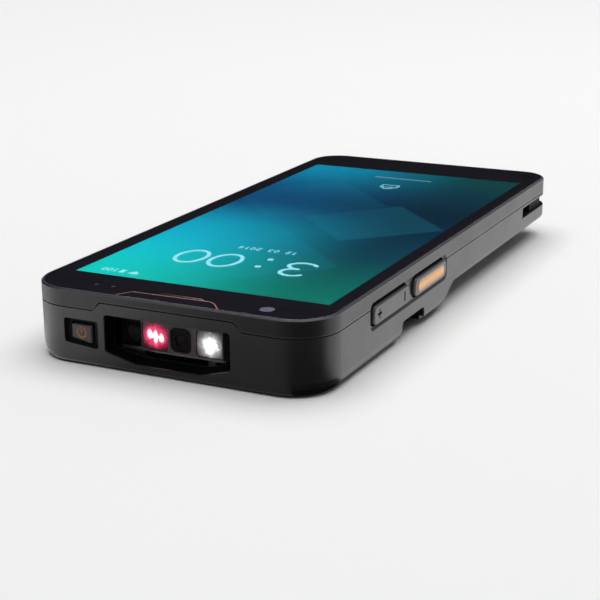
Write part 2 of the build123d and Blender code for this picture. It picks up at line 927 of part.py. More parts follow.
def rear_camera_openings():
    """Stepped holes in the housing's back for the rear camera and its flash."""
    ledge = rear_window_setback + rear_window_thickness
    openings = None
    for x, radius in ((rear_camera_x, rear_window_radius), (flash_x, flash_window_radius)):
        seat = rod(x, rear_camera_y, -past, ledge, radius + seat_gap)
        sight = rod(x, rear_camera_y, -past, rest_floor + past, radius - rear_window_ledge)
        openings = seat + sight if openings is None else openings + seat + sight
    return openings


def connector_slot():
    """The opening in the bay's ceiling for the battery connector."""
    half = connector_width / 2 + seat_gap
    y0 = connector_y() - connector_depth / 2 - seat_gap
    return block(-half, half, y0, y0 + connector_depth + 2 * seat_gap, bay_height - past, bay_roof + past)


def connector_y():
    return pack_head_y + connector_depth


# ---------------------------------------------------------------- front frame and screen stack
def front_frame():
    """The rim round the screen, with the deck over the scanning head."""
    frame = slab(plan(), parting_height, body_height)
    frame = chamfer(frame.edges().group_by(Axis.Z)[-1], rim_chamfer)
    frame -= slab(plan(rim_width), ledge_height, body_height + past)
    x = display_half_width + seat_gap
    y0 = display_head_y - seat_gap
    y1 = display_tail_y + seat_gap
    frame -= block(-x, x, y0, y1, chassis_bottom, body_height)
    lip = lip_width
    frame -= block(-x + lip, x - lip, y0 + lip, y1 - lip, parting_height - past, body_height)
    groove = plan(-past) - plan(parting_groove_depth)
    frame -= slab(groove, parting_height - past, parting_height + parting_groove_height)
    frame -= along_y(brow(parting_groove_height), head_y - past, head_y + brow_thickness + seat_gap)
    frame += screw_bosses()
    frame -= key_cutters()
    for place_x, place_y, _ in screw_places:
        thread_top = parting_height + screw_thread_depth + seat_gap
        thread_low = parting_height - screw_boss_drop - past
        frame -= rod(place_x, place_y, thread_low, thread_top, screw_radius + thread_gap)
    half = front_camera_body / 2 + seat_gap
    frame -= block(
        front_camera_x - half, front_camera_x + half, camera_y - half, camera_y + half,
        ledge_height - front_camera_body_depth, body_height,
    )
    ear_half = earpiece_length / 2 + seat_gap
    ear_y = head_y + earpiece_from_head
    ear_depth = earpiece_width / 2 + seat_gap
    ear_low = ledge_height - earpiece_height
    frame -= block(-ear_half, ear_half, ear_y - ear_depth, ear_y + ear_depth, ear_low, body_height)
    for x in sensor_x:
        sensor_low = ledge_height - sensor_depth
        frame -= rod(x, head_y + sensor_from_head, sensor_low, body_height, sensor_radius + seat_gap)
    return frame


def screw_bosses():
    """Bosses under the frame that the housing screws bite into."""
    bosses = None
    for x, y, _ in screw_places:
        boss_low = parting_height - screw_boss_drop
        boss = rod(x, y, boss_low, parting_height + screw_boss_overlap, screw_boss_radius)
        bosses = boss if bosses is None else bosses + boss
    return bosses & slab(plan(wall + seat_gap), 0, body_height)


def glass_openings(z0, z1):
    """The earpiece slot, cut through the glass and its border."""
    ear_y = head_y + earpiece_from_head
    half = earpiece_length / 2
    rise = earpiece_slot_width / 2
    slot = rounded(-half, half, ear_y - rise, ear_y + rise, earpiece_slot_corner)
    return slab(slot, z0, z1)


def cover_glass():
    glass = slab(plan(rim_width + seat_gap), glass_bottom, body_height)
    glass = chamfer(glass.edges().group_by(Axis.Z)[-1], glass_edge)
    return glass - glass_openings(glass_bottom - past, body_height + past)


def glass_border():
    """The black border printed under the glass, open over the screen, camera and sensors."""
    border = slab(plan(rim_width + seat_gap), border_bottom, glass_bottom)
    x = active_width / 2
    y0 = active_centre_y - active_length / 2
    border -= block(-x, x, y0, y0 + active_length, border_bottom - past, body_height)
    border -= rod(front_camera_x, camera_y, border_bottom - past, body_height, front_camera_radius)
    for sensor in sensor_x:
        border -= rod(sensor, head_y + sensor_from_head, border_bottom - past, body_height, sensor_radius)
    return border - glass_openings(border_bottom - past, body_height)


def glass_gasket():
    """The adhesive ring between the border and the frame's ledge."""
    outer = rim_width + 2 * seat_gap
    ring = slab(plan(outer) - plan(outer + gasket_width), ledge_height, border_bottom)
    return ring


def display_panel():
    return block(
        -display_half_width, display_half_width, display_head_y, display_tail_y, display_bottom, border_bottom
    )


def display_chassis():
    """The metal plate that carries the display."""
    plate = block(
        -display_half_width, display_half_width, display_head_y, display_tail_y, chassis_bottom, display_bottom
    )
    return plate


def front_camera():
    """The camera block in the deck, with its lens up to the glass."""
    half = front_camera_body / 2
    body = block(
        front_camera_x - half, front_camera_x + half, camera_y - half, camera_y + half,
        ledge_height - front_camera_body_depth, ledge_height,
    )
    lens_top = glass_bottom - lens_under_glass
    lens = rod(front_camera_x, camera_y, ledge_height, lens_top, front_camera_radius - seat_gap)
    return body + lens


def light_sensors():
    sensors = None
    for x in sensor_x:
        sensor = rod(
            x,
            head_y + sensor_from_head,
            ledge_height - sensor_depth,
            glass_bottom - lens_under_glass,
            sensor_radius - sensor_gap,
        )
        sensors = sensor if sensors is None else sensors + sensor
    return sensors


def earpiece():
    y = head_y + earpiece_from_head
    half = earpiece_length / 2
    y0 = y - earpiece_width / 2
    return block(-half, half, y0, y0 + earpiece_width, ledge_height - earpiece_height, ledge_height)


# ---------------------------------------------------------------- scan window and engine
def scan_window():
    return along_y(window_outline(0.0), window_front_y, window_back_y)


def scan_window_gasket():
    ring = window_outline(0.0) - scan_opening(scan_opening_inset, scan_sill_rise)
    return along_y(ring, window_seat_y, window_front_y)


def optic_seat(x, width, height, corner):
    """The rounded-square face of an optic, in (x, z)."""
    return rounded(x - width / 2, x + width / 2, optic_z - height / 2, optic_z + height / 2, corner)


def scan_engine():
    """The engine's casting: three square seats, and the ranging barrel beside them."""
    top = engine_bottom + engine_height
    body = block(engine_left, engine_right, engine_face_y, engine_face_y + engine_depth, engine_bottom, top)
    ranging_y = engine_face_y + ranging_setback
    body += block(ranging_left, engine_left, ranging_y, ranging_y + ranging_depth, engine_bottom, top)
    seat_end = engine_face_y + optic_seat_depth
    for x, width, height, corner in (
        (aimer_x, aimer_width, aimer_height, optic_corner),
        (imager_x, imager_width, imager_height, imager_corner),
        (led_x, led_width, led_height, optic_corner),
    ):
        seat = optic_seat(x, width + 2 * seat_gap, height + 2 * seat_gap, corner + seat_gap)
        body -= along_y(seat, engine_face_y - past, seat_end)
    ranging_hole = Pos(ranging_lens_x, ranging_lens_z) * Circle(ranging_lens_radius + seat_gap)
    body -= along_y(ranging_hole, ranging_y - past, ranging_y + optic_seat_depth)
    return body


def square_lens(x, width, height, corner):
    """A square optic that fills its seat."""
    y0 = engine_face_y + optic_setback
    return along_y(optic_seat(x, width, height, corner), y0, engine_face_y + optic_seat_depth)


def aimer_lens():
    return square_lens(aimer_x, aimer_width, aimer_height, optic_corner)


def illumination_lens():
    return square_lens(led_x, led_width, led_height, optic_corner)


def imager_barrel():
    """The imager's square holder, with a round mouth for the lens."""
    holder = square_lens(imager_x, imager_width, imager_height, imager_corner)
    mouth = Pos(imager_x, optic_z) * Circle(imager_lens_radius + seat_gap)
    y0 = engine_face_y + optic_setback
    return holder - along_y(mouth, y0 - past, y0 + optic_seat_depth / 2)


def domed_lens(x, z, y_front, y_back, radius):
    """A short glass rod whose front face bulges, turned round an axis along Y."""
    bulge = lens_bulge * radius
    dome_radius = (radius**2 + bulge**2) / (2 * bulge)
    half_angle = asin(radius / dome_radius) / 2
    middle = (dome_radius * sin(half_angle), y_front + dome_radius * (1 - cos(half_angle)))
    rim_y = y_front + bulge
    half = ThreePointArc((0, y_front), middle, (radius, rim_y))
    half += Polyline((radius, rim_y), (radius, y_back), (0, y_back), (0, y_front))
    return Pos(x, 0, z) * revolve(make_face(half), axis=Axis.Y)


def imager_lens():
    y0 = engine_face_y + optic_setback
    return domed_lens(imager_x, optic_z, y0, y0 + optic_seat_depth / 2, imager_lens_radius)


def ranging_lens():
    y0 = engine_face_y + ranging_setback + optic_setback
    y1 = y0 - optic_setback + optic_seat_depth
    return domed_lens(ranging_lens_x, ranging_lens_z, y0, y1, ranging_lens_radius)


def engine_board():
    y0 = engine_face_y + engine_depth
    top = engine_bottom + engine_height
    return block(engine_left, engine_right, y0, y0 + engine_board_thickness, engine_bottom, top)


def engine_bracket():
    """The plate under the engine, with feet on the floor and ears for its screws."""
    z1 = engine_bottom
    z0 = z1 - bracket_thickness
    y0 = engine_face_y + ranging_setback
    y1 = engine_face_y + engine_depth
    plate = block(ranging_left, engine_right, y0, y1, z0, z1)
    ear = engine_screw_x() + bracket_foot / 2
    plate += block(-ear, ear, y1 - bracket_foot, y1, z0, z1)
    for x in (-engine_screw_x(), engine_screw_x()):
        plate -= rod(x, engine_screw_y(), z0 - past, z1 + past, engine_screw_radius + screw_clearance)
    for x in (ranging_left + bracket_foot, engine_right - bracket_foot):
        leg_y = y0 + bracket_leg_half
        x0 = x - bracket_leg_half
        plate += block(x0, x + bracket_leg_half, leg_y, leg_y + bracket_foot, rest_floor, z0)
    return plate


def cap_screw(x, y, seat, reach, shank_radius, head_radius, head_height):
    """A screw that goes down from its seat: head above, cross drive in the head."""
    head = rod(x, y, seat, seat + head_height, head_radius)
    drive = Pos(x, y, seat + head_height - drive_depth / 2) * Box(2 * drive_radius, drive_width, drive_depth)
    drive += Pos(x, y, seat + head_height - drive_depth / 2) * Box(drive_width, 2 * drive_radius, drive_depth)
    return head - drive + rod(x, y, seat - reach, seat, shank_radius)


def engine_screws():
    screws = []
    for x in (-engine_screw_x(), engine_screw_x()):
        reach = engine_bottom - rest_floor - blind_hole_floor - 2 * seat_gap
        screws.append(
            cap_screw(
                x, engine_screw_y(), engine_bottom, reach, engine_screw_radius,
                board_screw_head_radius, board_screw_head_height,
            )
        )
    return Compound(children=screws)


# ---------------------------------------------------------------- power button
def power_button():
    """The sloped-bottom cap, with a flange behind the wall and a nub for the switch."""
    front = head_y + power_cap_setback
    flange_front = head_y + front_wall + joint_gap
    flange_back = flange_front + power_cap_flange_thickness
    cap = along_y(power_cap_outline(0.0), front, flange_back)
    cap = chamfer(cap.edges().group_by(Axis.Y)[0], power_cap_edge)
    cap += along_y(power_cap_outline(joint_gap + power_cap_flange), flange_front, flange_back)
    nub = Pos(power_middle_x, power_middle_z) * Circle(power_nub_radius)
    cap += along_y(nub, flange_back, flange_back + power_nub)
    return cap - power_symbol(power_symbol_depth)


def power_symbol(proud):
    """A ring that is open at the top, with a bar in the gap."""
    stroke = power_symbol_stroke
    ring = Circle(power_symbol_radius) - Circle(power_symbol_radius - stroke)
    ring -= Pos(0, power_symbol_radius) * Rectangle(power_symbol_gap, 2 * (power_symbol_radius - stroke))
    bar = Pos(0, power_bar_middle) * Rectangle(stroke, power_bar_length)
    mark = Pos(power_middle_x, power_middle_z) * (ring + bar)
    front = head_y + power_cap_setback
    return along_y(mark, front - proud, front + power_symbol_depth)


def power_switch():
    """The switch body behind the power button's nub."""
    front = power_switch_front_y
    half = power_switch_width / 2
    x0 = power_middle_x - half
    x1 = power_middle_x + half
    low = power_middle_z - power_switch_height / 2
    return block(x0, x1, front, front + power_switch_depth, low, low + power_switch_height)


def power_board():
    """The small upright board that carries the power switch."""
    front = power_switch_front_y + power_switch_depth
    half = power_switch_width / 2 + power_board_margin
    back = front + switch_board_thickness
    return block(power_middle_x - half, power_middle_x + half, front, back, rest_floor, power_pocket_top)


# ---------------------------------------------------------------- side keys on the right side
def key_body(start, length, flange_start, flange_length):
    """A side key: a rounded cap in its slot, and a flange behind the wall that keeps it in."""
    cap = along_x(key_outline(start, length, 0.0), key_back_x, key_face_x)
    cap = fillet(cap.edges().group_by(Axis.X)[-1], key_edge)
    y0 = head_y + flange_start
    flange = block(
        key_back_x, key_back_x + key_flange_thickness, y0, y0 + flange_length,
        key_top - key_height - key_flange, switch_strip_top,
    )
    return cap + flange


def volume_rocker():
    """The rocker: a dish in the middle, a plus near its head end and a bar near its tail end."""
    middle_start = rocker_start + rocker_length / 2 - rocker_ear_length / 2
    key = key_body(rocker_start, rocker_length, middle_start, rocker_ear_length)
    dish_y0 = head_y + rocker_start + rocker_dish_start
    dish_y1 = dish_y0 + rocker_dish_length
    dish = corners(
        (key_face_x + past, dish_y0),
        (key_face_x, dish_y0),
        (key_face_x - rocker_dish_depth, dish_y0 + rocker_dish_head_ramp),
        (key_face_x - rocker_dish_depth, dish_y1 - rocker_dish_tail_ramp),
        (key_face_x, dish_y1),
        (key_face_x + past, dish_y1),
    )
    key -= slab(dish, key_top - key_height - past, key_top + past)
    stroke = glyph_stroke / 2
    for place_y, upright in (
        (head_y + rocker_start + glyph_from_end, True),
        (head_y + rocker_start + rocker_length - glyph_from_end, False),
    ):
        x0 = key_face_x - glyph_depth
        x1 = key_face_x + past
        half = glyph_size / 2
        key -= block(x0, x1, place_y - stroke, place_y + stroke, key_middle_z - half, key_middle_z + half)
        if upright:
            key -= block(x0, x1, place_y - half, place_y + half, key_middle_z - stroke, key_middle_z + stroke)
    return key


def insert_outline(margin):
    """The trigger's colour insert in (y, z)."""
    half = insert_length / 2 + margin
    rise = insert_height / 2 + margin
    return rounded(
        trigger_middle_y - half,
        trigger_middle_y + half,
        key_middle_z - rise,
        key_middle_z + rise,
        rise - round_ease,
    )


def scan_trigger():
    key = key_body(trigger_start, trigger_length, trigger_start - key_flange, trigger_length + 2 * key_flange)
    pocket_x = key_face_x + insert_proud - insert_depth
    return key - along_x(insert_outline(0.0), pocket_x, key_face_x + past)


def trigger_insert():
    """The bright strip let into the trigger, standing slightly proud."""
    x1 = key_face_x + insert_proud
    strip = along_x(insert_outline(0.0), x1 - insert_depth, x1)
    return chamfer(strip.edges().group_by(Axis.X)[-1], insert_edge)


def switch_strip(start, length):
    """The upright switch board behind a side key."""
    y0 = head_y + start
    x1 = switch_strip_x + switch_board_thickness
    return block(switch_strip_x, x1, y0, y0 + length, switch_strip_bottom, switch_strip_top)


def switch_dome(y):
    """A flat round switch on the strip."""
    x0 = switch_strip_x + switch_board_thickness
    low = (switch_strip_bottom + switch_strip_top) / 2
    return along_x(Pos(y, low) * Circle(switch_radius), x0, x0 + switch_height)


def volume_switches():
    strip = switch_strip(rocker_start, rocker_length)
    return strip + switch_dome(rocker_middle_y - switch_offset) + switch_dome(rocker_middle_y + switch_offset)


def trigger_switch():
    return switch_strip(trigger_start, trigger_length) + switch_dome(trigger_middle_y)


# ---------------------------------------------------------------- boards and what sits on them
def main_board():
    """The circuit board over the battery bay, cut away round the tail screws and the strap block."""
    outline = rounded(-board_half_width, board_half_width, board_head_y, board_tail_y, board_corner)
    board = slab(outline, board_height, board_top)
    for x, y, _ in screw_places:
        board -= rod(x, y, board_height - past, board_top + past, screw_post_radius + joint_gap)
    passage_x = strap_corner_x - strap_tail_hole_width - wall - joint_gap
    board -= block(
        passage_x, side_x, strap_slot_start - wall - joint_gap, tail_y, board_height - past, board_top + past
    )
    for x, y, _ in board_post_places():
        board -= rod(x, y, board_height - past, board_top + past, board_screw_radius + screw_clearance)
    return board


def shield(x, y, width, length):
    """A sheet-metal can over chips: solid top with a rounded edge."""
    outline = rounded(x - width / 2, x + width / 2, y - length / 2, y + length / 2, shield_corner)
    can = slab(outline, board_top, board_top + shield_height)
    return chamfer(can.edges().group_by(Axis.Z)[-1], shield_edge)


def processor_shield():
    return shield(0.0, processor_shield_y, cpu_shield_width, cpu_shield_length)


def radio_shield():
    return shield(0.0, radio_shield_y, radio_shield_width, radio_shield_length)


def antenna_carrier():
    y0 = tail_y - antenna_from_tail
    half = antenna_width / 2
    top = board_top + antenna_height
    return block(antenna_x - half, antenna_x + half, y0, y0 + antenna_length, board_top, top)


def board_screws():
    screws = [
        cap_screw(
            x, y, board_top, board_thickness + board_screw_reach() - seat_gap,
            board_screw_radius, board_screw_head_radius, board_screw_head_height,
        )
        for x, y, _ in board_post_places()
    ]
    return Compound(children=screws)


def housing_screws():
    """The screws that hold the frame, put in from the underside, with six-sided sockets."""
    screws = []
    for x, y, base in screw_places:
        low = base + screw_recess
        seat = low + screw_head_height
        head = rod(x, y, low, seat, screw_head_radius)
        socket = slab(Pos(x, y) * RegularPolygon(screw_hex_radius, 6), low, low + drive_depth)
        screws.append(head - socket + rod(x, y, seat, parting_height + screw_thread_depth, screw_radius))
    return Compound(children=screws)


def battery_connector():
    """The connector under the board, with spring pins that look down through the bay's ceiling."""
    half = connector_width / 2
    y0 = connector_y() - connector_depth / 2
    body = block(-half, half, y0, y0 + connector_depth, bay_height + connector_recess, board_height)
    for x in contact_places():
        body += rod(x, connector_y(), bay_height, bay_height + connector_recess, contact_pin_radius)
    return body


def contact_places():
    return [(i - (contact_count - 1) / 2) * contact_pitch for i in range(contact_count)]


def loudspeaker():
    x0 = loudspeaker_x - loudspeaker_length / 2
    y0 = rear_camera_y - loudspeaker_width / 2
    top = rest_floor + loudspeaker_height
    return block(x0, x0 + loudspeaker_length, y0, y0 + loudspeaker_width, rest_floor, top)


def vibration_motor():
    x = side_x - motor_from_side
    return rod(x, head_y + motor_from_head, rest_floor, rest_floor + motor_height, motor_radius)


def rear_camera():
    half = rear_camera_body / 2
    x = rear_camera_x
    y = rear_camera_y
    body = block(x - half, x + half, y - half, y + half, rest_floor, rest_floor + rear_camera_height)
    barrel_low = rear_window_setback + rear_window_thickness + seat_gap
    return body + rod(x, y, barrel_low, rest_floor, rear_window_radius - rear_window_ledge - 2 * seat_gap)


def rear_camera_window():
    top = rear_window_setback + rear_window_thickness
    return rod(rear_camera_x, rear_camera_y, rear_window_setback, top, rear_window_radius)


def flash_window():
    top = rear_window_setback + rear_window_thickness
    return rod(flash_x, rear_camera_y, rear_window_setback, top, flash_window_radius)


def flash_light():
    half = flash_body / 2
    y0 = rear_camera_y - half
    return block(flash_x - half, flash_x + half, y0, y0 + flash_body, rest_floor, rest_floor + flash_height)


# ---------------------------------------------------------------- battery pack
def pack_side_view(z0, z1):
    """Side view of the pack in (y, z): its tail face leans in below the hinge line, so it can swing."""
    lean = (hook_height - pack_lift) * tan(radians(pack_open_angle))
    return corners(
        (pack_head_y, z0),
        (pack_tail_y - lean - pack_swing_gap, z0),
        (pack_tail_y, hook_height),
        (pack_tail_y, z1),
        (pack_head_y, z1),
    )


def pack_block(z0, z1):
    section = along_y(belly_section(z0, z1), pack_head_y, pack_tail_y)
    return section & along_x(pack_side_view(z0, z1), -side_x, side_x)


def battery_shell():
    """The pack's case with the belly section, two hooks on necks, and a guide for each latch."""
    shell = pack_block(pack_lift, pack_lid_bottom)
    shell = chamfer(shell.edges().filter_by(Axis.Y).group_by(Axis.Z)[0], belly_edge)
    y0 = pack_head_y + pack_wall
    y1 = pack_tail_y - 2 * pack_wall
    cell_x = cell_half_width + cell_gap
    shell -= block(-cell_x, cell_x, y0, y1, pack_lift + pack_wall, pack_lid_bottom + past)
    shell -= both_sides(latch_guide_space())
    for x in (-hook_x, hook_x):
        half = hook_length / 2
        barrel = along_x(Pos(hinge_y, hook_height) * Circle(hook_radius), x - half, x + half)
        neck_low = hook_height - hook_neck_height / 2
        neck = block(x - half, x + half, pack_tail_y - weld, hinge_y, neck_low, neck_low + hook_neck_height)
        shell += barrel + neck
    return shell


def latch_guide_space():
    """The guide that the right latch slides in."""
    half = latch_length / 2 + latch_gap
    rise = latch_height / 2 + latch_gap
    middle = latch_height_above_rest
    return block(
        spring_seat_x, side_x, notch_middle_y - half, notch_middle_y + half, middle - rise, middle + rise
    )


def battery_lid():
    """The pack's upper plate, with a pocket for each contact."""
    outline = rounded(-pack_half_width, pack_half_width, pack_head_y, pack_tail_y, pack_corner)
    lid = slab(outline, pack_lid_bottom, pack_top)
    for x in contact_places():
        lid -= contact_pad(x)
    return lid


def contact_pad(x):
    half = contact_width / 2
    y0 = connector_y() - contact_length / 2
    return block(x - half, x + half, y0, y0 + contact_length, pack_top - contact_thickness, pack_top)


def battery_contacts():
    return Compound(children=[contact_pad(x) for x in contact_places()])


def battery_cell():
    """The cell inside the pack: a pouch with rounded long edges."""
    y0 = pack_head_y + pack_wall + cell_gap
    y1 = pack_tail_y - 2 * pack_wall - cell_gap
    z0 = pack_lift + pack_wall + cell_gap
    z1 = pack_lid_bottom - cell_gap
    return along_y(rounded(-cell_half_width, cell_half_width, z0, z1, cell_corner), y0, y1)


def pack_latch():
    """The right latch: a slider with ribs for a fingertip and a blind bore for its spring."""
    half = latch_length / 2
    rise = latch_height / 2
    middle = latch_height_above_rest
    face_x = pack_half_width + latch_reach
    back_x = pack_half_width - latch_guide
    body = block(back_x, face_x, notch_middle_y - half, notch_middle_y + half, middle - rise, middle + rise)
    pitch = latch_length / (latch_rib_count + 1)
    for i in range(latch_rib_count):
        y = notch_middle_y - half + (i + 1) * pitch
        groove_x = face_x - latch_rib_depth
        body -= block(
            groove_x, face_x + past, y - latch_rib_depth, y + latch_rib_depth, middle - rise, middle + rise
        )
    bore = Pos(notch_middle_y, middle) * Circle(spring_radius + latch_gap)
    return body - along_x(bore, back_x - past, back_x + latch_bore)


def latch_spring():
    """The right latch's coil spring, seated in the pack and reaching into the latch."""
    height = latch_bore - seat_gap
    coil = Helix(pitch=height / spring_turns, height=height, radius=spring_radius - spring_wire / 2)
    start = coil @ 0
    wire_section = Plane(origin=start, z_dir=coil % 0) * Circle(spring_wire / 2)
    spring = sweep(wire_section, path=coil)
    x0 = spring_seat_x + seat_gap
    return Pos(x0, notch_middle_y, latch_height_above_rest) * (Rot(0, 90, 0) * spring)


# ---------------------------------------------------------------- tail
def usb_receptacle():
    """The inlet's metal sleeve, closed at its inner end, with a tongue in the middle."""
    y1 = tail_y - usb_setback
    y0 = y1 - usb_depth
    sleeve = along_y(usb_opening(0.0), y0, y1)
    hollow = usb_opening(-usb_wall)
    return sleeve - along_y(hollow, y0 + usb_back_thickness, y1 + past)


def usb_tongue():
    y1 = tail_y - usb_setback - usb_tongue_setback
    y0 = tail_y - usb_setback - usb_depth + usb_back_thickness
    half = usb_tongue_width / 2
    low = usb_middle_z - usb_tongue_thickness / 2
    return block(-half, half, y0, y1, low, low + usb_tongue_thickness)


# ---------------------------------------------------------------- one STEP file per node
write("rear_housing", rear_housing())
write("front_frame", front_frame())
write("cover_glass", cover_glass())
write("glass_border", glass_border())
write("glass_gasket", glass_gasket())
write("display_panel", display_panel())
write("display_chassis", display_chassis())
write("front_camera", front_camera())
write("light_sensors", light_sensors())
write("earpiece", earpiece())
write("scan_window", scan_window())
write("scan_window_gasket", scan_window_gasket())
write("scan_engine", scan_engine())
write("aimer_lens", aimer_lens())
write("illumination_lens", illumination_lens())
write("imager_barrel", imager_barrel())
write("imager_lens", imager_lens())
write("ranging_lens", ranging_lens())
write("engine_board", engine_board())
write("engine_bracket", engine_bracket())
write("engine_screws", engine_screws())
write("power_button", power_button())
write("power_symbol", power_symbol(power_symbol_proud))
write("power_switch", power_switch())
write("power_board", power_board())
write("volume_rocker", volume_rocker())
write("volume_switches", volume_switches())
write("scan_trigger_right", scan_trigger())
write("scan_trigger_left", mirror(scan_trigger(), Plane.YZ))
write("trigger_insert_right", trigger_insert())
write("trigger_insert_left", mirror(trigger_insert(), Plane.YZ))
write("trigger_switch_right", trigger_switch())
write("trigger_switch_left", mirror(trigger_switch(), Plane.YZ))
write("main_board", main_board())
write("processor_shield", processor_shield())
write("radio_shield", radio_shield())
write("antenna_carrier", antenna_carrier())
write("board_screws", board_screws())
write("housing_screws", housing_screws())
write("battery_connector", battery_connector())
write("loudspeaker", loudspeaker())
write("vibration_motor", vibration_motor())
write("rear_camera", rear_camera())
write("rear_camera_window", rear_camera_window())
write("flash_window", flash_window())
write("flash_light", flash_light())
write("battery_shell", battery_shell())
write("battery_lid", battery_lid())
write("battery_cell", battery_cell())
write("battery_contacts", battery_contacts())
write("latch_right", pack_latch())
write("latch_left", mirror(pack_latch(), Plane.YZ))
write("latch_spring_right", latch_spring())
write("latch_spring_left", mirror(latch_spring(), Plane.YZ))
write("usb_receptacle", usb_receptacle())
write("usb_tongue", usb_tongue())
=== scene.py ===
# %% [markdown]
# # Dressing a handheld barcode terminal
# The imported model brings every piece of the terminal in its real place, in metres: the head with its
# scan window points along -Y, the screen looks up along +Z, and the volume rocker is on the +X side.
# This lesson gives each piece its finish, draws what the screen shows, and sets up a plain studio.
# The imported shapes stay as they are.

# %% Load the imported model
from math import atan2, cos, pi, radians, sin

import bmesh
import bpy
from mathutils import Matrix, Vector


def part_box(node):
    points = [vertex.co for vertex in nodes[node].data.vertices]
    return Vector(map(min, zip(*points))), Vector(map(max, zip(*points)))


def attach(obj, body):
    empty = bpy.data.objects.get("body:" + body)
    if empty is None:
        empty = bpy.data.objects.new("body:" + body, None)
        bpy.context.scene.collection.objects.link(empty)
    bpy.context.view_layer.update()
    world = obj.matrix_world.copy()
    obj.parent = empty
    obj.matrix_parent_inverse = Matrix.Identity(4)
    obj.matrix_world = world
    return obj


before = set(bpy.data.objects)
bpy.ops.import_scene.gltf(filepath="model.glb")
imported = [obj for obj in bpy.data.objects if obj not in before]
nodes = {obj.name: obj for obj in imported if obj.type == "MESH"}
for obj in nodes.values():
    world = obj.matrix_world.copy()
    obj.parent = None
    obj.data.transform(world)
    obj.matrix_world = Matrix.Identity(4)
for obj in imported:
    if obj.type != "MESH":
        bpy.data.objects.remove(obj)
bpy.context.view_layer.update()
MM = 0.001

# %% [markdown]
# ## The camera
# The camera stands low in front of the head's right corner and looks slightly down along the body.
# It could be aimed with rotation angles or with a Track To constraint. Its place, its line of sight
# and its slight roll are given as vectors instead, because three vectors make the camera's matrix
# directly, with no angles to convert.

# %% Camera
IMAGE_SIDE = 600
FOCAL_PIXELS = 1457.476
SENSOR_MM = 36.0
camera_place = Vector((0.157812, -0.332409, 0.109288))
camera_forward = Vector((-0.42436, 0.856137, -0.294871)).normalized()
camera_up = Vector((-0.122655, 0.268296, 0.955496))
camera_right = camera_forward.cross(camera_up).normalized()
camera_up = camera_right.cross(camera_forward)
camera_data = bpy.data.cameras.new("studio_camera")
camera_data.sensor_width = SENSOR_MM
camera_data.lens = FOCAL_PIXELS / IMAGE_SIDE * SENSOR_MM
camera = bpy.data.objects.new("studio_camera", camera_data)
turn = Matrix((camera_right, camera_up, -camera_forward)).transposed().to_4x4()
camera.matrix_world = Matrix.Translation(camera_place) @ turn
bpy.context.scene.collection.objects.link(camera)
bpy.context.scene.camera = camera
print("lens", round(camera_data.lens, 2), "mm")

# %% [markdown]
# ## Helpers for shader nodes
# A material is a graph of nodes. It could be drawn by hand in the Shader Editor, but code can be read,
# repeated and changed in one place. The moves that every finish makes are helpers: add a node and set
# its inputs, feed a socket, and calculate with two values.


# %% Adding, joining and calculating
def add(tree, kind, **values):
    """A new shader node; each value goes to the input socket or the property of that name."""
    node = tree.nodes.new(kind)
    for name, value in values.items():
        label = name.replace("_", " ")
        if label in node.inputs:
            node.inputs[label].default_value = value
        else:
            setattr(node, name, value)
    return node


def join(tree, source, target):
    """Links an output socket to an input socket."""
    tree.links.new(source, target)


def feed(tree, operand, socket):
    """Gives an input socket its value: a number, a colour, or the output socket to link to it."""
    if isinstance(operand, (int, float, tuple)):
        socket.default_value = operand
    else:
        join(tree, operand, socket)


def calc(tree, operation, first, second=None):
    """A Math node; each operand is a number or a socket. Returns its output socket."""
    node = add(tree, "ShaderNodeMath", operation=operation)
    for socket, operand in zip(node.inputs, (first, second)):
        if operand is not None:
            feed(tree, operand, socket)
    return node.outputs[0]


print("helpers: add, join, feed, calc")

# %% [markdown]
# ## A material to start from
# Plastic, steel, ink and glass differ in numbers, not in kind, so all start from one Principled
# shader. A number that is the same all over a piece is set on the shader's own socket. Only what
# changes over the surface is fed by nodes, later. Glass, floor and cards mix in a second shader.


# %% Material with one shader
def opaque(colour):
    """A colour of three numbers with its fourth, the alpha, at 1."""
    return tuple(colour) + (1.0,)


def new_material(name, **values):
    """A material with one Principled shader; each value is set on the shader's own socket."""
    material = bpy.data.materials.new(name)
    material.use_nodes = True
    tree = material.node_tree
    tree.nodes.clear()
    shader = add(tree, "ShaderNodeBsdfPrincipled", **values)
    output = add(tree, "ShaderNodeOutputMaterial")
    join(tree, shader.outputs[0], output.inputs["Surface"])
    return material, tree, shader


def mix_shaders(tree, factor, first, second):
    """Puts a mix of two shaders on the material's output."""
    either = add(tree, "ShaderNodeMixShader")
    for operand, socket in zip((factor, first, second), either.inputs):
        join(tree, operand, socket)
    join(tree, either.outputs[0], tree.nodes["Material Output"].inputs["Surface"])


print("helpers: opaque, new_material, mix_shaders")

# %% [markdown]
# ## Values that change over a surface
# A finish changes from place to place: a recess is darker, a lens glows most in its middle, a mould
# leaves pits. Painted image textures could hold that, but they need unwrapped faces. These helpers
# work from the point's place in the piece's own space instead, so they fit any shape.


# %% Mixing, mapping, places and noise
MIX_COLOUR_INPUTS = (0, 6, 7)
MIX_COLOUR_RESULT = 2


def mix_colour(tree, factor, first, second):
    """Mixes two colours by a factor; each is a value or a socket. Returns the colour socket."""
    node = add(tree, "ShaderNodeMix", data_type="RGBA")
    for index, operand in zip(MIX_COLOUR_INPUTS, (factor, first, second)):
        feed(tree, operand, node.inputs[index])
    return node.outputs[MIX_COLOUR_RESULT]


def span(tree, value, low, high, smooth=False):
    """Maps a socket from low..high to 0..1."""
    node = add(tree, "ShaderNodeMapRange", From_Min=low, From_Max=high)
    if smooth:
        node.interpolation_type = "SMOOTHSTEP"
    join(tree, value, node.inputs["Value"])
    return node.outputs[0]


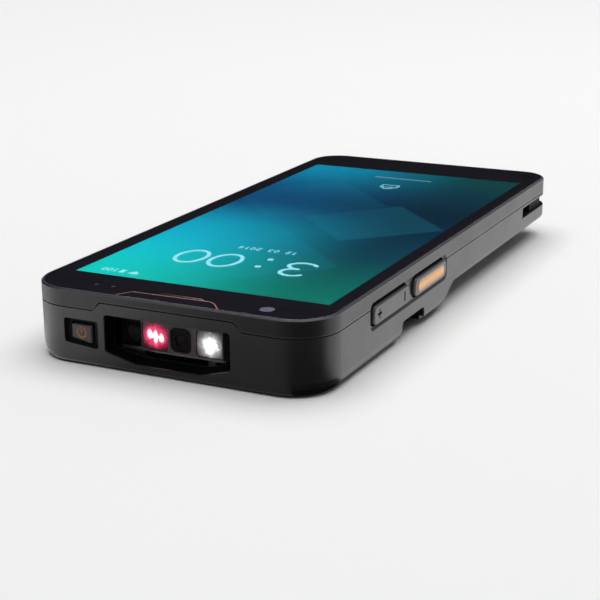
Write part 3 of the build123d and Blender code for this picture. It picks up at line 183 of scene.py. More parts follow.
def object_axes(tree):
    """The X, Y and Z sockets of a point's place in the piece's own space, in metres."""
    place = add(tree, "ShaderNodeTexCoord")
    axes = add(tree, "ShaderNodeSeparateXYZ")
    join(tree, place.outputs["Object"], axes.inputs[0])
    return axes.outputs["X"], axes.outputs["Y"], axes.outputs["Z"]


def noise(tree, scale, detail=2.0, roughness=0.5):
    """A cloud of noise that is fixed to the piece; scale is a number or a socket."""
    place = add(tree, "ShaderNodeTexCoord")
    node = add(tree, "ShaderNodeTexNoise", Detail=detail, Roughness=roughness)
    join(tree, place.outputs["Object"], node.inputs["Vector"])
    feed(tree, scale, node.inputs["Scale"])
    return node.outputs["Fac"]


print("helpers: mix_colour, span, object_axes, noise")

# %% [markdown]
# ## Shared effects
# Some effects return on many pieces: the grain of the mould, the polish that edges take, the film
# that hands leave, and the black of a recess, which is painted shade. On the frame the edge effect
# paints a highlight. Each is a node group with named sockets, built once and placed in each material
# with its own values. A group gives out only values and masks. The shader stays in the material,
# where the export can read it.


# %% Group maker
def new_group(name, inputs, outputs):
    """A shader node group with the named float inputs and float outputs."""
    group = bpy.data.node_groups.new(name, "ShaderNodeTree")
    for label, value in inputs.items():
        socket = group.interface.new_socket(name=label, in_out="INPUT", socket_type="NodeSocketFloat")
        socket.default_value = value
    for label in outputs:
        group.interface.new_socket(name=label, in_out="OUTPUT", socket_type="NodeSocketFloat")
    return group, group.nodes.new("NodeGroupInput"), group.nodes.new("NodeGroupOutput")


print("helper: new_group")

# %% [markdown]
# ## Mould grain
# A mould for such a housing is etched, and each pit of the etching prints a tiny bump on the plastic.
# The bumps are far too small to model, and a real part carries millions of them. Fine noise gives
# their height for a Bump node, and a slow noise lets the tone drift a little, as plastic does.


# %% Grain group
def make_grain_group():
    """Moulded grain: the height of small pits, and a slow drift of tone."""
    group, inlet, outlet = new_group("moulded_grain", {"Scale": 4000.0, "Drift": 60.0}, ("Height", "Tone"))
    pits = noise(group, inlet.outputs["Scale"], detail=3.0, roughness=0.6)
    drift = noise(group, inlet.outputs["Drift"])
    join(group, pits, outlet.inputs["Height"])
    join(group, drift, outlet.inputs["Tone"])
    return group


GRAIN = make_grain_group()
print("group", GRAIN.name)

# %% [markdown]
# ## Edge polish and highlight
# Hands and pockets rub a case most on its outer edges, and they turn smoother and lighter there. The
# Bevel node gives the normal that a rounded edge would have. Where it turns away from the true
# normal there is an edge, so no edge has to be picked by hand. Noise breaks the line up. On the
# frame the same mask paints a highlight on the edge.

# %% Edge group
EDGE_GAIN = 5.0
EDGE_BREAKS = 450.0


def make_edge_group():
    """Edge mask for wear and a painted highlight: up to 1 on edges, 0 on flats, broken up by noise."""
    group, inlet, outlet = new_group("edge_polish_and_highlight", {"Width": 0.0004, "Strength": 1.0}, ("Mask",))
    bevel = add(group, "ShaderNodeBevel", samples=4)
    join(group, inlet.outputs["Width"], bevel.inputs["Radius"])
    surface = add(group, "ShaderNodeNewGeometry")
    agree = add(group, "ShaderNodeVectorMath", operation="DOT_PRODUCT")
    join(group, bevel.outputs["Normal"], agree.inputs[0])
    join(group, surface.outputs["Normal"], agree.inputs[1])
    edge = calc(group, "SUBTRACT", 1.0, agree.outputs["Value"])
    broken = noise(group, EDGE_BREAKS, detail=3.0)
    worn_and_highlight = calc(group, "MULTIPLY", calc(group, "MULTIPLY", edge, EDGE_GAIN), broken)
    limited = add(group, "ShaderNodeClamp")
    join(group, calc(group, "MULTIPLY", worn_and_highlight, inlet.outputs["Strength"]), limited.inputs["Value"])
    join(group, limited.outputs[0], outlet.inputs["Mask"])
    return group


EDGE = make_edge_group()
print("group", EDGE.name)

# %% [markdown]
# ## Handling film
# A handled surface is never evenly shiny: skin leaves soft patches on it. Drawn fingerprints would
# catch the eye too much on a clean terminal, so slow noise only shifts the roughness a little.


# %% Film group
def make_film_group():
    """Handling film: soft patches that change how shiny a surface is."""
    group, inlet, outlet = new_group("handling_film", {"Patch": 90.0}, ("Film",))
    patches = noise(group, inlet.outputs["Patch"], detail=4.0, roughness=0.55)
    join(group, patches, outlet.inputs["Film"])
    return group


FILM = make_film_group()
print("group", FILM.name)

# %% [markdown]
# ## Black and shade boxes
# The inside of a port or a notch looks blacker than the outside, because little light finds its way
# out again, and here that shade is painted. A second material on the inner faces could paint it, but
# it would end in a hard line at each face. A box in space paints whatever lies in it a black that
# mirrors nothing, and fades out just inside its own walls. The same boxes also give a part a black
# of its own.

# %% Black and shade box group
BOX_FADE = 0.15 * MM


def make_black_and_shade_box_group():
    """Black and shade box: the strength inside a box of the piece's own space, and 0 outside."""
    corners = {end + " " + axis: 0.0 for end in ("Low", "High") for axis in "XYZ"}
    group, inlet, outlet = new_group("black_and_shade_box", {**corners, "Strength": 1.0}, ("Mask",))
    nearest = []
    for axis, place in zip("XYZ", object_axes(group)):
        above = calc(group, "SUBTRACT", place, inlet.outputs["Low " + axis])
        below = calc(group, "SUBTRACT", inlet.outputs["High " + axis], place)
        nearest.append(calc(group, "MINIMUM", above, below))
    depth = calc(group, "MINIMUM", calc(group, "MINIMUM", nearest[0], nearest[1]), nearest[2])
    inside = span(group, depth, 0.0, BOX_FADE)
    join(group, calc(group, "MULTIPLY", inside, inlet.outputs["Strength"]), outlet.inputs["Mask"])
    return group


def black_and_shade(tree, boxes):
    """A mask of all the boxes, each (low corner, high corner, strength), corners in millimetres."""
    mask = 0.0
    for low, high, strength in boxes:
        box = add(tree, "ShaderNodeGroup", node_tree=BLACK_AND_SHADE_BOX, Strength=strength)
        for axis, start, end in zip("XYZ", low, high):
            box.inputs["Low " + axis].default_value = start * MM
            box.inputs["High " + axis].default_value = end * MM
        mask = calc(tree, "MAXIMUM", box.outputs["Mask"], mask)
    return mask


BLACK_AND_SHADE_BOX = make_black_and_shade_box_group()
print("group", BLACK_AND_SHADE_BOX.name)

# %% [markdown]
# ## A finish for solid pieces
# Housing, keys, casting and screws carry the same shared effects, only in other amounts. They could
# each have a graph of their own. With one function, a piece's line says no more than how it differs:
# its colour, gloss, grain and edges.

# %% Solid finish
TONE_DRIFT = 0.12
FILM_SWING = 0.06
FILM_MIDDLE = 0.5
EDGE_SHINE = 0.12
EDGE_BRIGHTER = 1.6
EDGE_LIFT = 0.01
BLACK_AND_SHADE = (0.003, 0.004, 0.005, 1.0)


def solid_finish(
    name, colour, roughness, metallic=0.0, grain=4000.0, bump=0.00002, edge=0.35, edge_colour=None,
    edge_width=0.0004, coat=0.0, ior=1.5, black_and_shade_boxes=(),
):
    """A plastic or metal with mould grain, handling film and polished edges, on the frame a painted
    highlight.

    Lengths are in metres. black_and_shade_boxes lists boxes, each (low corner, high corner, strength),
    where the surface is painted a black that mirrors nothing: in most of them painted shade, in some a
    part's own black.
    """
    material, tree, shader = new_material(name, Metallic=metallic, Coat_Weight=coat, IOR=ior)
    mould = add(tree, "ShaderNodeGroup", node_tree=GRAIN, Scale=grain)
    polish_and_highlight = add(tree, "ShaderNodeGroup", node_tree=EDGE, Width=edge_width, Strength=edge).outputs["Mask"]
    film = add(tree, "ShaderNodeGroup", node_tree=FILM).outputs["Film"]
    darker = opaque(x * (1 - TONE_DRIFT) for x in colour)
    lighter = opaque(min(1.0, x * (1 + TONE_DRIFT)) for x in colour)
    # The edge colour: wear, and on the frame a painted highlight.
    rubbed_and_highlight = opaque(edge_colour or [min(1.0, x * EDGE_BRIGHTER + EDGE_LIFT) for x in colour])
    body = mix_colour(tree, mould.outputs["Tone"], darker, lighter)
    surface = mix_colour(tree, polish_and_highlight, body, rubbed_and_highlight)
    swing = calc(tree, "MULTIPLY", calc(tree, "SUBTRACT", film, FILM_MIDDLE), 2 * FILM_SWING)
    shine = calc(tree, "MULTIPLY", polish_and_highlight, -EDGE_SHINE)
    rough = calc(tree, "ADD", calc(tree, "ADD", swing, roughness), shine)
    # Painted shade in recesses, and a part's own black, from the boxes.
    if black_and_shade_boxes:
        black_and_shade_mask = black_and_shade(tree, black_and_shade_boxes)
        surface = mix_colour(tree, black_and_shade_mask, surface, BLACK_AND_SHADE)
        rough = calc(tree, "MAXIMUM", rough, black_and_shade_mask)
        join(tree, black_and_shade_mask, shader.inputs["Metallic"])
    join(tree, surface, shader.inputs["Base Color"])
    join(tree, rough, shader.inputs["Roughness"])
    relief = add(tree, "ShaderNodeBump", Strength=1.0, Distance=bump)
    join(tree, mould.outputs["Height"], relief.inputs["Height"])
    join(tree, relief.outputs["Normal"], shader.inputs["Normal"])
    return material


print("helper: solid_finish")

# %% [markdown]
# ## Handing out the finishes
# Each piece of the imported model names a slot, such as key_plastic, and pieces of the same material
# share one. Set piece by piece, a finish is easily forgotten on one of them. Given to a slot, it
# reaches them all at once, and the printed line says which they were.


# %% Dressing by slot
def dress(slot_name, material):
    """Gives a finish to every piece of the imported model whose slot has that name."""
    dressed = []
    for label, node in nodes.items():
        for place in node.material_slots:
            if place.material and place.material.name == slot_name:
                place.material = material
                dressed.append(label)
    print(slot_name, "is now", material.name, "on", ", ".join(dressed))


print("slots", sorted({place.material.name for node in nodes.values() for place in node.material_slots}))

# %% [markdown]
# ## The rear housing
# The housing is neutral black plastic from an etched mould. Five recesses in it get painted shade, a
# black that mirrors nothing: the port in front of the scan engine, the bay round the power button, the
# strap slot in the tail corner and the two notches at the latches. Each box starts just behind the
# face that its recess opens in, so that no painted shade spills onto the outside.

# %% Rear housing
HOUSING_BLACK = (0.012, 0.012, 0.013)
# Each box: its low and its high corner in millimetres, and the strength of its painted shade.
SCAN_PORT = ((-16.3, -79.0, 1.9), (16.3, -75.8, 12.2), 1.0)
POWER_BAY = ((-26.5, -79.1, 4.0), (-17.2, -77.4, 10.8), 0.7)
STRAP_RECESS = ((34.0, 52.0, 8.0), (36.4, 80.0, 12.3), 0.75)
NOTCH_RIGHT = ((30.0, -36.3, -1.0), (36.6, -21.2, 5.2), 0.8)
NOTCH_LEFT = ((-36.6, -36.3, -1.0), (-30.0, -21.2, 5.2), 0.8)
dress("housing_plastic", solid_finish(
    "housing_grain", HOUSING_BLACK, roughness=0.4,
    black_and_shade_boxes=(SCAN_PORT, POWER_BAY, STRAP_RECESS, NOTCH_RIGHT, NOTCH_LEFT),
))

# %% [markdown]
# ## The frame round the glass
# The frame is the same plastic with a finer grain, and its upper edge shows a pale violet gleam, which
# is a painted highlight. A modelled chamfer with a colour of its own would draw a hard stripe, so the
# painted highlight comes from the edge effect, made wide and strong.

# %% Frame
dress("frame_plastic", solid_finish(
    # The edge colour is the painted violet highlight.
    "frame_grain", (0.012, 0.012, 0.014), roughness=0.4, grain=6000.0,
    edge=1.0, edge_colour=(0.15, 0.13, 0.18), edge_width=0.0007, ior=1.42,
))

# %% [markdown]
# ## Battery pack and latches
# The pack's shell and lid form most of the back and are a little rougher than the housing. The
# latches sit deep in their notches, nearly without gloss. More roughness would make them paler, so a
# low index of refraction takes the gloss away.

# %% Pack shell and latches
dress("battery_case", solid_finish("battery_grain", HOUSING_BLACK, roughness=0.44))
dress("latch_plastic", solid_finish(
    "latch_grain", (0.009, 0.009, 0.01), roughness=0.45, grain=7000.0, ior=1.3,
))

# %% [markdown]
# ## Keys
# The volume rocker, the triggers and the power button are smoother and a shade lighter than the
# housing, where fingers rub. The plus and minus on the rocker are sunk signs. Three boxes, one for
# each bar, fill them with a black that mirrors nothing, as separate faces of the key can't be picked
# here.

# %% Keys
PLUS_UPRIGHT = ((36.6, -49.85, 10.0), (37.5, -49.15, 12.5), 1.0)
PLUS_BAR = ((36.6, -50.75, 10.9), (37.5, -48.25, 11.6), 1.0)
MINUS_BAR = ((36.6, -35.4, 9.95), (37.5, -34.6, 12.55), 1.0)
dress("key_plastic", solid_finish(
    "key_grain", (0.018, 0.018, 0.02), roughness=0.38, grain=7000.0,
    black_and_shade_boxes=(PLUS_UPRIGHT, PLUS_BAR, MINUS_BAR),
))

# %% [markdown]
# ## Small plastics inside
# Speaker, switches, connector and the tongue of the socket are smooth black parts. They show only
# through slots, or once the case is open, so one plain finish serves them all. The antenna carrier
# is dark grey, as plastic filled with glass fibre is.

# %% Small plastics
SMALL_PART_BLACK = (0.008, 0.008, 0.009)
for name in ("speaker_black", "switch_black", "connector_black", "tongue_black"):
    dress(name, solid_finish(name + "_finish", SMALL_PART_BLACK, roughness=0.38, grain=9000.0))
dress("antenna_plastic", solid_finish("antenna_grain", (0.05, 0.05, 0.052), roughness=0.5))

# %% [markdown]
# ## Imager barrel, cameras and light sensors
# The imager's barrel is black, so that no stray light reaches its sensor. The cameras' violet is the
# reflection of their coating, painted into their colour. The two light sensors share their slot, but
# look darker through the small holes over them, and that shade is painted. A finish of their own
# would need a slot of its own, so a box of painted shade holds them back instead.

# %% Camera parts
# Painted shade over the two light sensors, under their small holes.
LIGHT_SENSOR_PAIR = ((-23.0, -74.0, 12.0), (-16.0, -71.4, 17.5), 0.35)
dress("imager_black", solid_finish(
    "imager_black_finish", (0.005, 0.004, 0.004), roughness=0.5, grain=9000.0, ior=1.2,
))
# The violet colour is a painted reflection of the lens coating.
dress("camera_black", solid_finish(
    "camera_violet_painted_reflection", (0.13, 0.11, 0.19), roughness=0.4, grain=9000.0, edge=0.0,
    black_and_shade_boxes=(LIGHT_SENSOR_PAIR,),
))

# %% [markdown]
# ## Gaskets and border ink
# The gaskets are soft black rubber, the dullest surface of all. The border round the screen is ink
# printed on the back of the glass, with no gloss of its own: an index of refraction of 1 takes the
# shader's reflection away and leaves only the glass to mirror the room.

# %% Rubber and ink
dress("gasket_rubber", solid_finish(
    "soft_rubber", (0.006, 0.006, 0.006), roughness=0.7, grain=7000.0, edge=0.1,
))
dress("border_ink", solid_finish(
    "border_ink_print", (0.026, 0.0245, 0.034), roughness=0.5, bump=0.0, edge=0.0, ior=1.0,
))

# %% [markdown]
# ## Orange accents
# The trigger's insert and the power symbol are orange plastic, moulded in a second shot. A thin coat
# gives the insert its slight gloss. Its middle is bright, and towards its upper and lower rims a
# painted shade fades it to a warm grey. The shade follows the height, so it needs no mask drawn in an
# image.


# %% Orange insert and symbol
def paint_rim_shade(material, middle_z, core, reach, colour):
    """Paints shade: fades a finish to another colour from core to reach above and below a height, in
    metres.
    """
    tree = material.node_tree
    shader = tree.nodes["Principled BSDF"]
    before = shader.inputs["Base Color"].links[0].from_socket
    away = calc(tree, "ABSOLUTE", calc(tree, "SUBTRACT", object_axes(tree)[2], middle_z))
    mask = span(tree, away, core, reach, smooth=True)
    join(tree, mix_colour(tree, mask, before, opaque(colour)), shader.inputs["Base Color"])


# The warm grey of the painted shade at the insert's rims.
RIM_SHADE_GREY = (0.17, 0.14, 0.11)
FADE_CORE = 0.1
FADE_REACH = 1.1
insert_low, insert_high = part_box("trigger_insert_right")
insert_middle = (insert_low[2] + insert_high[2]) / 2
insert_half = (insert_high[2] - insert_low[2]) / 2
insert_finish = solid_finish(
    "insert_orange_plastic", (0.75, 0.31, 0.045), roughness=0.42, edge_colour=(0.6, 0.4, 0.2), coat=0.15,
)
paint_rim_shade(insert_finish, insert_middle, insert_half * FADE_CORE, insert_half * FADE_REACH, RIM_SHADE_GREY)
dress("insert_orange", insert_finish)
dress("symbol_orange", solid_finish("symbol_orange_plastic", (0.8, 0.25, 0.03), roughness=0.5, edge=0.0))

# %% [markdown]
# ## The scan engine's casting
# The engine's body is a dark casting, and its slight red is the aimer's light beside it, painted into
# its colour. Its edges shine where it was trimmed. The side of the ranging lens is black, because its
# sensor may see nothing but the echo of its own light. It is the same casting, so a box of the same
# black mask makes that side black.

# %% Engine casting
RANGING_SIDE = ((-22.0, -76.0, 1.0), (-9.1, -60.0, 12.5), 1.0)
# The slight red in the colour is the aimer's light, painted in.
dress("engine_casting", solid_finish(
    "engine_casting_metal", (0.085, 0.07, 0.078), roughness=0.45, grain=2500.0, bump=0.00003,
    edge=0.8, ior=1.25, black_and_shade_boxes=(RANGING_SIDE,),
))

# %% [markdown]
# ## Steel and gold
# The bracket is cut from sheet, the shields are tinned, the springs are drawn wire and the screws are
# blackened. All are true metals, so Metallic is 1 and the base colour is the colour of what they
# mirror. They differ in shade and gloss only, which a short table says best.

# %% Metals
# Each metal: its slot, the name of its finish, its colour and its roughness.
METALS = (
    ("bracket_steel", "bracket_steel_sheet", (0.35, 0.35, 0.36), 0.35),
    ("shield_steel", "shield_tinned_steel", (0.5, 0.5, 0.5), 0.3),
    ("spring_steel", "spring_steel_wire", (0.45, 0.45, 0.46), 0.25),
    ("inlet_steel", "inlet_steel_shell", (0.4, 0.4, 0.41), 0.28),
    ("motor_steel", "motor_steel_can", (0.42, 0.42, 0.43), 0.3),
    ("contact_gold", "contact_gold_plate", (0.83, 0.6, 0.22), 0.25),
)
for slot_name, name, colour, roughness in METALS:
    dress(slot_name, solid_finish(name, colour, roughness, metallic=1.0))
dress("screw_steel", solid_finish(
    "screw_steel_black", (0.09, 0.09, 0.095), roughness=0.32, metallic=1.0, edge=0.6,
))

# %% [markdown]
# ## Coated parts inside
# The display's chassis is painted steel and the battery cell is wrapped in lacquered foil. A clear
# coat over bare metal would mirror too much for either, so both are metal only in part. The circuit
# boards have a green solder mask, and the flash a milky lens.

# %% Coated parts
dress("display_chassis", solid_finish(
    "chassis_steel_black", (0.05, 0.05, 0.05), roughness=0.5, metallic=0.6,
))
dress("cell_foil", solid_finish("cell_foil_wrap", (0.55, 0.56, 0.58), roughness=0.4, metallic=0.8))
dress("circuit_board", solid_finish("circuit_board_mask", (0.012, 0.09, 0.035), roughness=0.35))
dress("flash_white", solid_finish("flash_lens_white", (0.75, 0.74, 0.6), roughness=0.3))

# %% [markdown]
# ## Clear glass
# The cover glass and the scan window are clear and let light through to what lies behind them. A path
# tracer finds that light only with great effort. So shadow rays pass straight through a transparent
# shader, and all other rays see glass that refracts and mirrors.

# %% Clear glass
HAZE_POWER = 3.0
GLASS_FILM_PATCH = 120.0


def clear_glass(name, tint, haze, ior):
    """Clear glass with a faint film; shadow rays pass through it."""
    material, tree, shader = new_material(name, Base_Color=opaque(tint), Transmission_Weight=1.0, IOR=ior)
    film = add(tree, "ShaderNodeGroup", node_tree=FILM, Patch=GLASS_FILM_PATCH).outputs["Film"]
    rough = calc(tree, "MULTIPLY", calc(tree, "POWER", film, HAZE_POWER), haze)
    join(tree, rough, shader.inputs["Roughness"])
    path = add(tree, "ShaderNodeLightPath")
    clear = add(tree, "ShaderNodeBsdfTransparent")
    mix_shaders(tree, path.outputs["Is Shadow Ray"], shader.outputs[0], clear.outputs[0])
    return material


dress("cover_glass", clear_glass("cover_glass_clear", (1.0, 1.0, 1.0), haze=0.04, ior=1.33))
dress("scan_window", clear_glass("scan_window_clear", (1.0, 0.985, 0.985), haze=0.05, ior=1.06))

# %% [markdown]
# ## Dark glass over the optics
# The rear camera's window and the lenses of the scan engine are coated glass over black barrels. True
# glass would be slow and show only darkness behind it. So each is a dark, smooth solid with a painted
# sheen: it is a little lighter where it is seen at a slant, as a coating's reflection is.

# %% Lens glass
LENS_ROUGHNESS = 0.05
SLANT_SHEEN_BLEND = 0.35
SLANT_SHEEN_BRIGHTER = 3
SLANT_SHEEN_LIFT = 0.01


def lens_glass(name, colour, coat, ior):
    """A coated lens over a black barrel: dark, smooth and glossy, with a painted sheen at a slant."""
    material, tree, shader = new_material(name, Roughness=LENS_ROUGHNESS, Coat_Weight=coat, IOR=ior)
    slant = add(tree, "ShaderNodeLayerWeight", Blend=SLANT_SHEEN_BLEND).outputs["Facing"]
    slant_sheen = opaque(min(1.0, x * SLANT_SHEEN_BRIGHTER + SLANT_SHEEN_LIFT) for x in colour)
    join(tree, mix_colour(tree, slant, opaque(colour), slant_sheen), shader.inputs["Base Color"])
    return material


dress("rear_window", lens_glass("rear_window_dark", (0.006, 0.006, 0.008), coat=1.0, ior=1.5))
dress("optic_glass", lens_glass("optic_glass_coated", (0.008, 0.004, 0.006), coat=0.0, ior=1.16))

# %% [markdown]
# ## Helpers for the wallpaper
# The wallpaper is a calm picture of colour ramps with pale diamonds on them. It could be an image
# file, but a ramp and a few sums draw it at any sharpness and from nothing but numbers.

# %% Ramp and diamond
RAMP_MIDDLE = 0.5
DIAMOND_SOFTNESS = 0.2


def ramp(tree, value, stops):
    """A smooth colour ramp; each stop is a position from 0 to 1 and a colour, in rising order."""
    node = add(tree, "ShaderNodeValToRGB")
    node.color_ramp.interpolation = "CARDINAL"
    while len(node.color_ramp.elements) < len(stops):
        node.color_ramp.elements.new(RAMP_MIDDLE)
    for element, (position, colour) in zip(node.color_ramp.elements, stops):
        element.position = position
        element.color = opaque(colour)
    join(tree, value, node.inputs[0])
    return node.outputs[0]


def diamond(tree, across, along, centre, reach):
    """A mask that is 1 inside a soft-edged diamond on the screen, in millimetres."""
    offset_x = calc(tree, "ABSOLUTE", calc(tree, "ADD", across, -centre[0] * MM))
    offset_y = calc(tree, "ABSOLUTE", calc(tree, "ADD", along, -centre[1] * MM))
    distance = calc(tree, "ADD", offset_x, offset_y)
    return span(tree, distance, (reach + DIAMOND_SOFTNESS) * MM, (reach - DIAMOND_SOFTNESS) * MM)


print("helpers: ramp, diamond")

# %% [markdown]
# ## The colours of the screen
# Along its length the screen goes from green over blue to dusk and back, brighter on one side than on
# the other. One ramp can't hold both sides, so there are two, from 0 at the head to 1 at the tail.

# %% Wallpaper colours
LEFT_STOPS = (
    (0.03, (0.004, 0.65, 0.59)), (0.25, (0.004, 0.55, 0.7)), (0.43, (0.004, 0.37, 0.56)),
    (0.55, (0.003, 0.14, 0.29)), (0.67, (0.002, 0.06, 0.19)), (0.85, (0.003, 0.19, 0.36)),
    (1.0, (0.003, 0.33, 0.54)),
)
RIGHT_STOPS = (
    (0.03, (0.003, 0.165, 0.125)), (0.25, (0.003, 0.07, 0.09)), (0.45, (0.002, 0.033, 0.065)),
    (0.66, (0.002, 0.022, 0.046)), (0.85, (0.003, 0.045, 0.065)), (1.0, (0.003, 0.063, 0.06)),
)
# Each diamond: its centre and its reach in millimetres, and how strongly it shows.
DIAMONDS = (
    ((-4.0, -38.0), 26.0, 0.05),
    ((12.0, 4.0), 20.0, 0.07),
    ((-15.0, 22.0), 24.0, 0.045),
)
DIAMOND_BLUE = (0.03, 0.6, 0.8, 1.0)
print("stops", len(LEFT_STOPS), "and", len(RIGHT_STOPS), "diamonds", len(DIAMONDS))

# %% [markdown]
# ## The lit display
# A display makes its own light and mirrors next to nothing, as its face is coated against glare. So
# the picture is emission over a black base. The panel is a little larger than its lit part, and a
# mask keeps that margin dark.

# %% Display
SCREEN_HALF_WIDTH = 32.4
SCREEN_HEAD = -65.3
SCREEN_TAIL = 64.3
SCREEN_MIDDLE = (SCREEN_HEAD + SCREEN_TAIL) / 2
SCREEN_HALF_LENGTH = (SCREEN_TAIL - SCREEN_HEAD) / 2
RIGHT_SIDE_FULL = 25.0
UNLIT = (0.0, 0.0, 0.0, 1.0)
panel, panel_tree, panel_shader = new_material(
    "display_wallpaper", Base_Color=(0.004, 0.004, 0.005, 1.0), Roughness=0.35, IOR=1.0,
    Emission_Strength=1.35,
)
across, along, _ = object_axes(panel_tree)
length_way = span(panel_tree, along, SCREEN_HEAD * MM, SCREEN_TAIL * MM)
side_way = span(panel_tree, across, -SCREEN_HALF_WIDTH * MM, RIGHT_SIDE_FULL * MM, smooth=True)
left_ramp = ramp(panel_tree, length_way, LEFT_STOPS)
right_ramp = ramp(panel_tree, length_way, RIGHT_STOPS)
paper = mix_colour(panel_tree, side_way, left_ramp, right_ramp)
for centre, reach, strength in DIAMONDS:
    mask = diamond(panel_tree, across, along, centre, reach)
    paper = mix_colour(panel_tree, calc(panel_tree, "MULTIPLY", mask, strength), paper, DIAMOND_BLUE)
from_middle = calc(panel_tree, "ABSOLUTE", calc(panel_tree, "ADD", along, -SCREEN_MIDDLE * MM))
lit_across = calc(panel_tree, "LESS_THAN", calc(panel_tree, "ABSOLUTE", across), SCREEN_HALF_WIDTH * MM)
lit_along = calc(panel_tree, "LESS_THAN", from_middle, SCREEN_HALF_LENGTH * MM)
picture = mix_colour(panel_tree, calc(panel_tree, "MULTIPLY", lit_across, lit_along), UNLIT, paper)
join(panel_tree, picture, panel_shader.inputs["Emission Color"])
dress("display_panel", panel)

# %% [markdown]
# ## Spots of glow
# The aimer throws a red pattern through a small square lens, and a white lamp lights the code. Each
# lens is brightest round a few spots. Real lamps behind modelled lenses would render slowly and full
# of noise. A bell of brightness round each spot, uneven from the lens's facets, looks the same.

# %% Glow spot group
FACET_SCALE = 1100.0
FACET_FLOOR = 0.5


def make_glow_group():
    """Glow spot: the level at a spot on a lens, falling off smoothly and broken up by facets."""
    inputs = {"Middle X": 0.0, "Middle Z": 0.0, "Reach X": MM, "Reach Z": MM, "Level": 1.0}
    group, inlet, outlet = new_group("glow_spot", inputs, ("Glow",))
    squared = []
    for axis, place in zip("XYZ", object_axes(group)):
        if axis != "Y":
            away = calc(group, "SUBTRACT", place, inlet.outputs["Middle " + axis])
            share = calc(group, "DIVIDE", away, inlet.outputs["Reach " + axis])
            squared.append(calc(group, "MULTIPLY", share, share))
    fall = calc(group, "MULTIPLY", calc(group, "ADD", squared[0], squared[1]), -1.0)
    spot = calc(group, "MULTIPLY", calc(group, "EXPONENT", fall), inlet.outputs["Level"])
    facets = calc(group, "ADD", noise(group, FACET_SCALE, detail=3.0), FACET_FLOOR)
    join(group, calc(group, "MULTIPLY", spot, facets), outlet.inputs["Glow"])
    return group


GLOW_SPOT = make_glow_group()
print("group", GLOW_SPOT.name)

# %% [markdown]
# ## A lens that glows
# Seen directly or through the window, a lens shows its full glow. Towards the surfaces round it the
# glow is held back to a few hundredths, or the sill in front of the lenses would wash out. The Light
# Path node tells the two apart, and it stays in the material itself.

# %% Glowing lens
GLOW_ON_OTHERS = 0.03
LENS_FACE_ROUGHNESS = 0.2


def glowing_lens(name, node_name, spots, stops, strength, body):
    """A lens that glows round spots, each (x, z, reach_x, reach_z, level) from its middle."""
    low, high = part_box(node_name)
    middle_x = (low[0] + high[0]) / 2
    middle_z = (low[2] + high[2]) / 2
    material, tree, shader = new_material(
        name, Base_Color=opaque(body), Roughness=LENS_FACE_ROUGHNESS, Emission_Strength=strength,
    )
    total = 0.0
    for x, z, reach_x, reach_z, level in spots:
        spot = add(
            tree, "ShaderNodeGroup", node_tree=GLOW_SPOT, Middle_X=middle_x + x * MM,
            Middle_Z=middle_z + z * MM, Reach_X=reach_x * MM, Reach_Z=reach_z * MM, Level=level,
        )
        total = calc(tree, "MAXIMUM", spot.outputs["Glow"], total)
    path = add(tree, "ShaderNodeLightPath")
    seen = calc(tree, "MAXIMUM", path.outputs["Is Camera Ray"], path.outputs["Is Transmission Ray"])
    seen = calc(tree, "MAXIMUM", seen, GLOW_ON_OTHERS)
    join(tree, mix_colour(tree, seen, UNLIT, ramp(tree, total, stops)), shader.inputs["Emission Color"])
    return material


print("helper: glowing_lens")

# %% [markdown]
# ## The red aimer
# The aimer's pattern is a row of three bright bars with a red haze round them. Five spots make it:
# one for each bar, a flat one that joins them, and a wide faint one for the haze. The ramp turns
# their brightness from dark red over pink to white, as a strong red light looks.

# %% Aimer
# Each spot: x and z from the lens's middle, its reach along x and z in millimetres, and its level.
AIMER_SPOTS = (
    (-1.4, 0.3, 0.9, 1.4, 1.05),
    (0.0, -0.05, 0.75, 2.1, 1.05),
    (1.45, -0.25, 0.9, 1.4, 1.05),
    (0.0, 0.0, 2.3, 0.8, 0.9),
    (0.0, 0.0, 3.0, 2.5, 0.55),
)
AIMER_STOPS = (
    (0.0, (0.01, 0.0, 0.002)), (0.14, (0.12, 0.002, 0.015)), (0.3, (0.6, 0.03, 0.1)),
    (0.5, (0.95, 0.1, 0.22)), (0.65, (1.0, 0.5, 0.55)), (0.75, (1.0, 1.0, 1.0)),
)
dress("aimer_lens", glowing_lens(
    "aimer_lens_red", "aimer_lens", AIMER_SPOTS, AIMER_STOPS, strength=1.2, body=(0.02, 0.0, 0.002),
))

# %% [markdown]
# ## The white lamp
# The lamp is one bright point with a faint cross through it, from the way its lens is cut. A round
# spot, an upright one, a lying one and a wide dim one add up to that star.

# %% Lamp
LAMP_SPOTS = (
    (0.2, -0.2, 2.6, 2.6, 1.0),
    (0.2, -0.2, 0.8, 4.0, 0.7),
    (0.2, -0.2, 4.0, 0.8, 0.6),
    (0.0, 0.0, 3.4, 3.2, 0.35),
)
LAMP_STOPS = (
    (0.0, (0.006, 0.006, 0.006)), (0.14, (0.05, 0.05, 0.052)), (0.3, (0.16, 0.16, 0.165)),
    (0.5, (0.42, 0.42, 0.43)), (0.72, (1.0, 1.0, 1.0)),
)
dress("illumination_lens", glowing_lens(
    "illumination_lens_white", "illumination_lens", LAMP_SPOTS, LAMP_STOPS, strength=1.15,
    body=(0.02, 0.02, 0.02),
))

# %% [markdown]
# ## Strokes
# The clock and the small signs are lit marks just above the panel. Text objects could write digits,
# but their look hangs on a font file. Thin solid strokes need nothing: a round brush is swept along
# each stroke's points, as a disc at every point and a bar between each two.

# %% Strokes
BRUSH_STEPS = 10
ARC_STEPS = 18


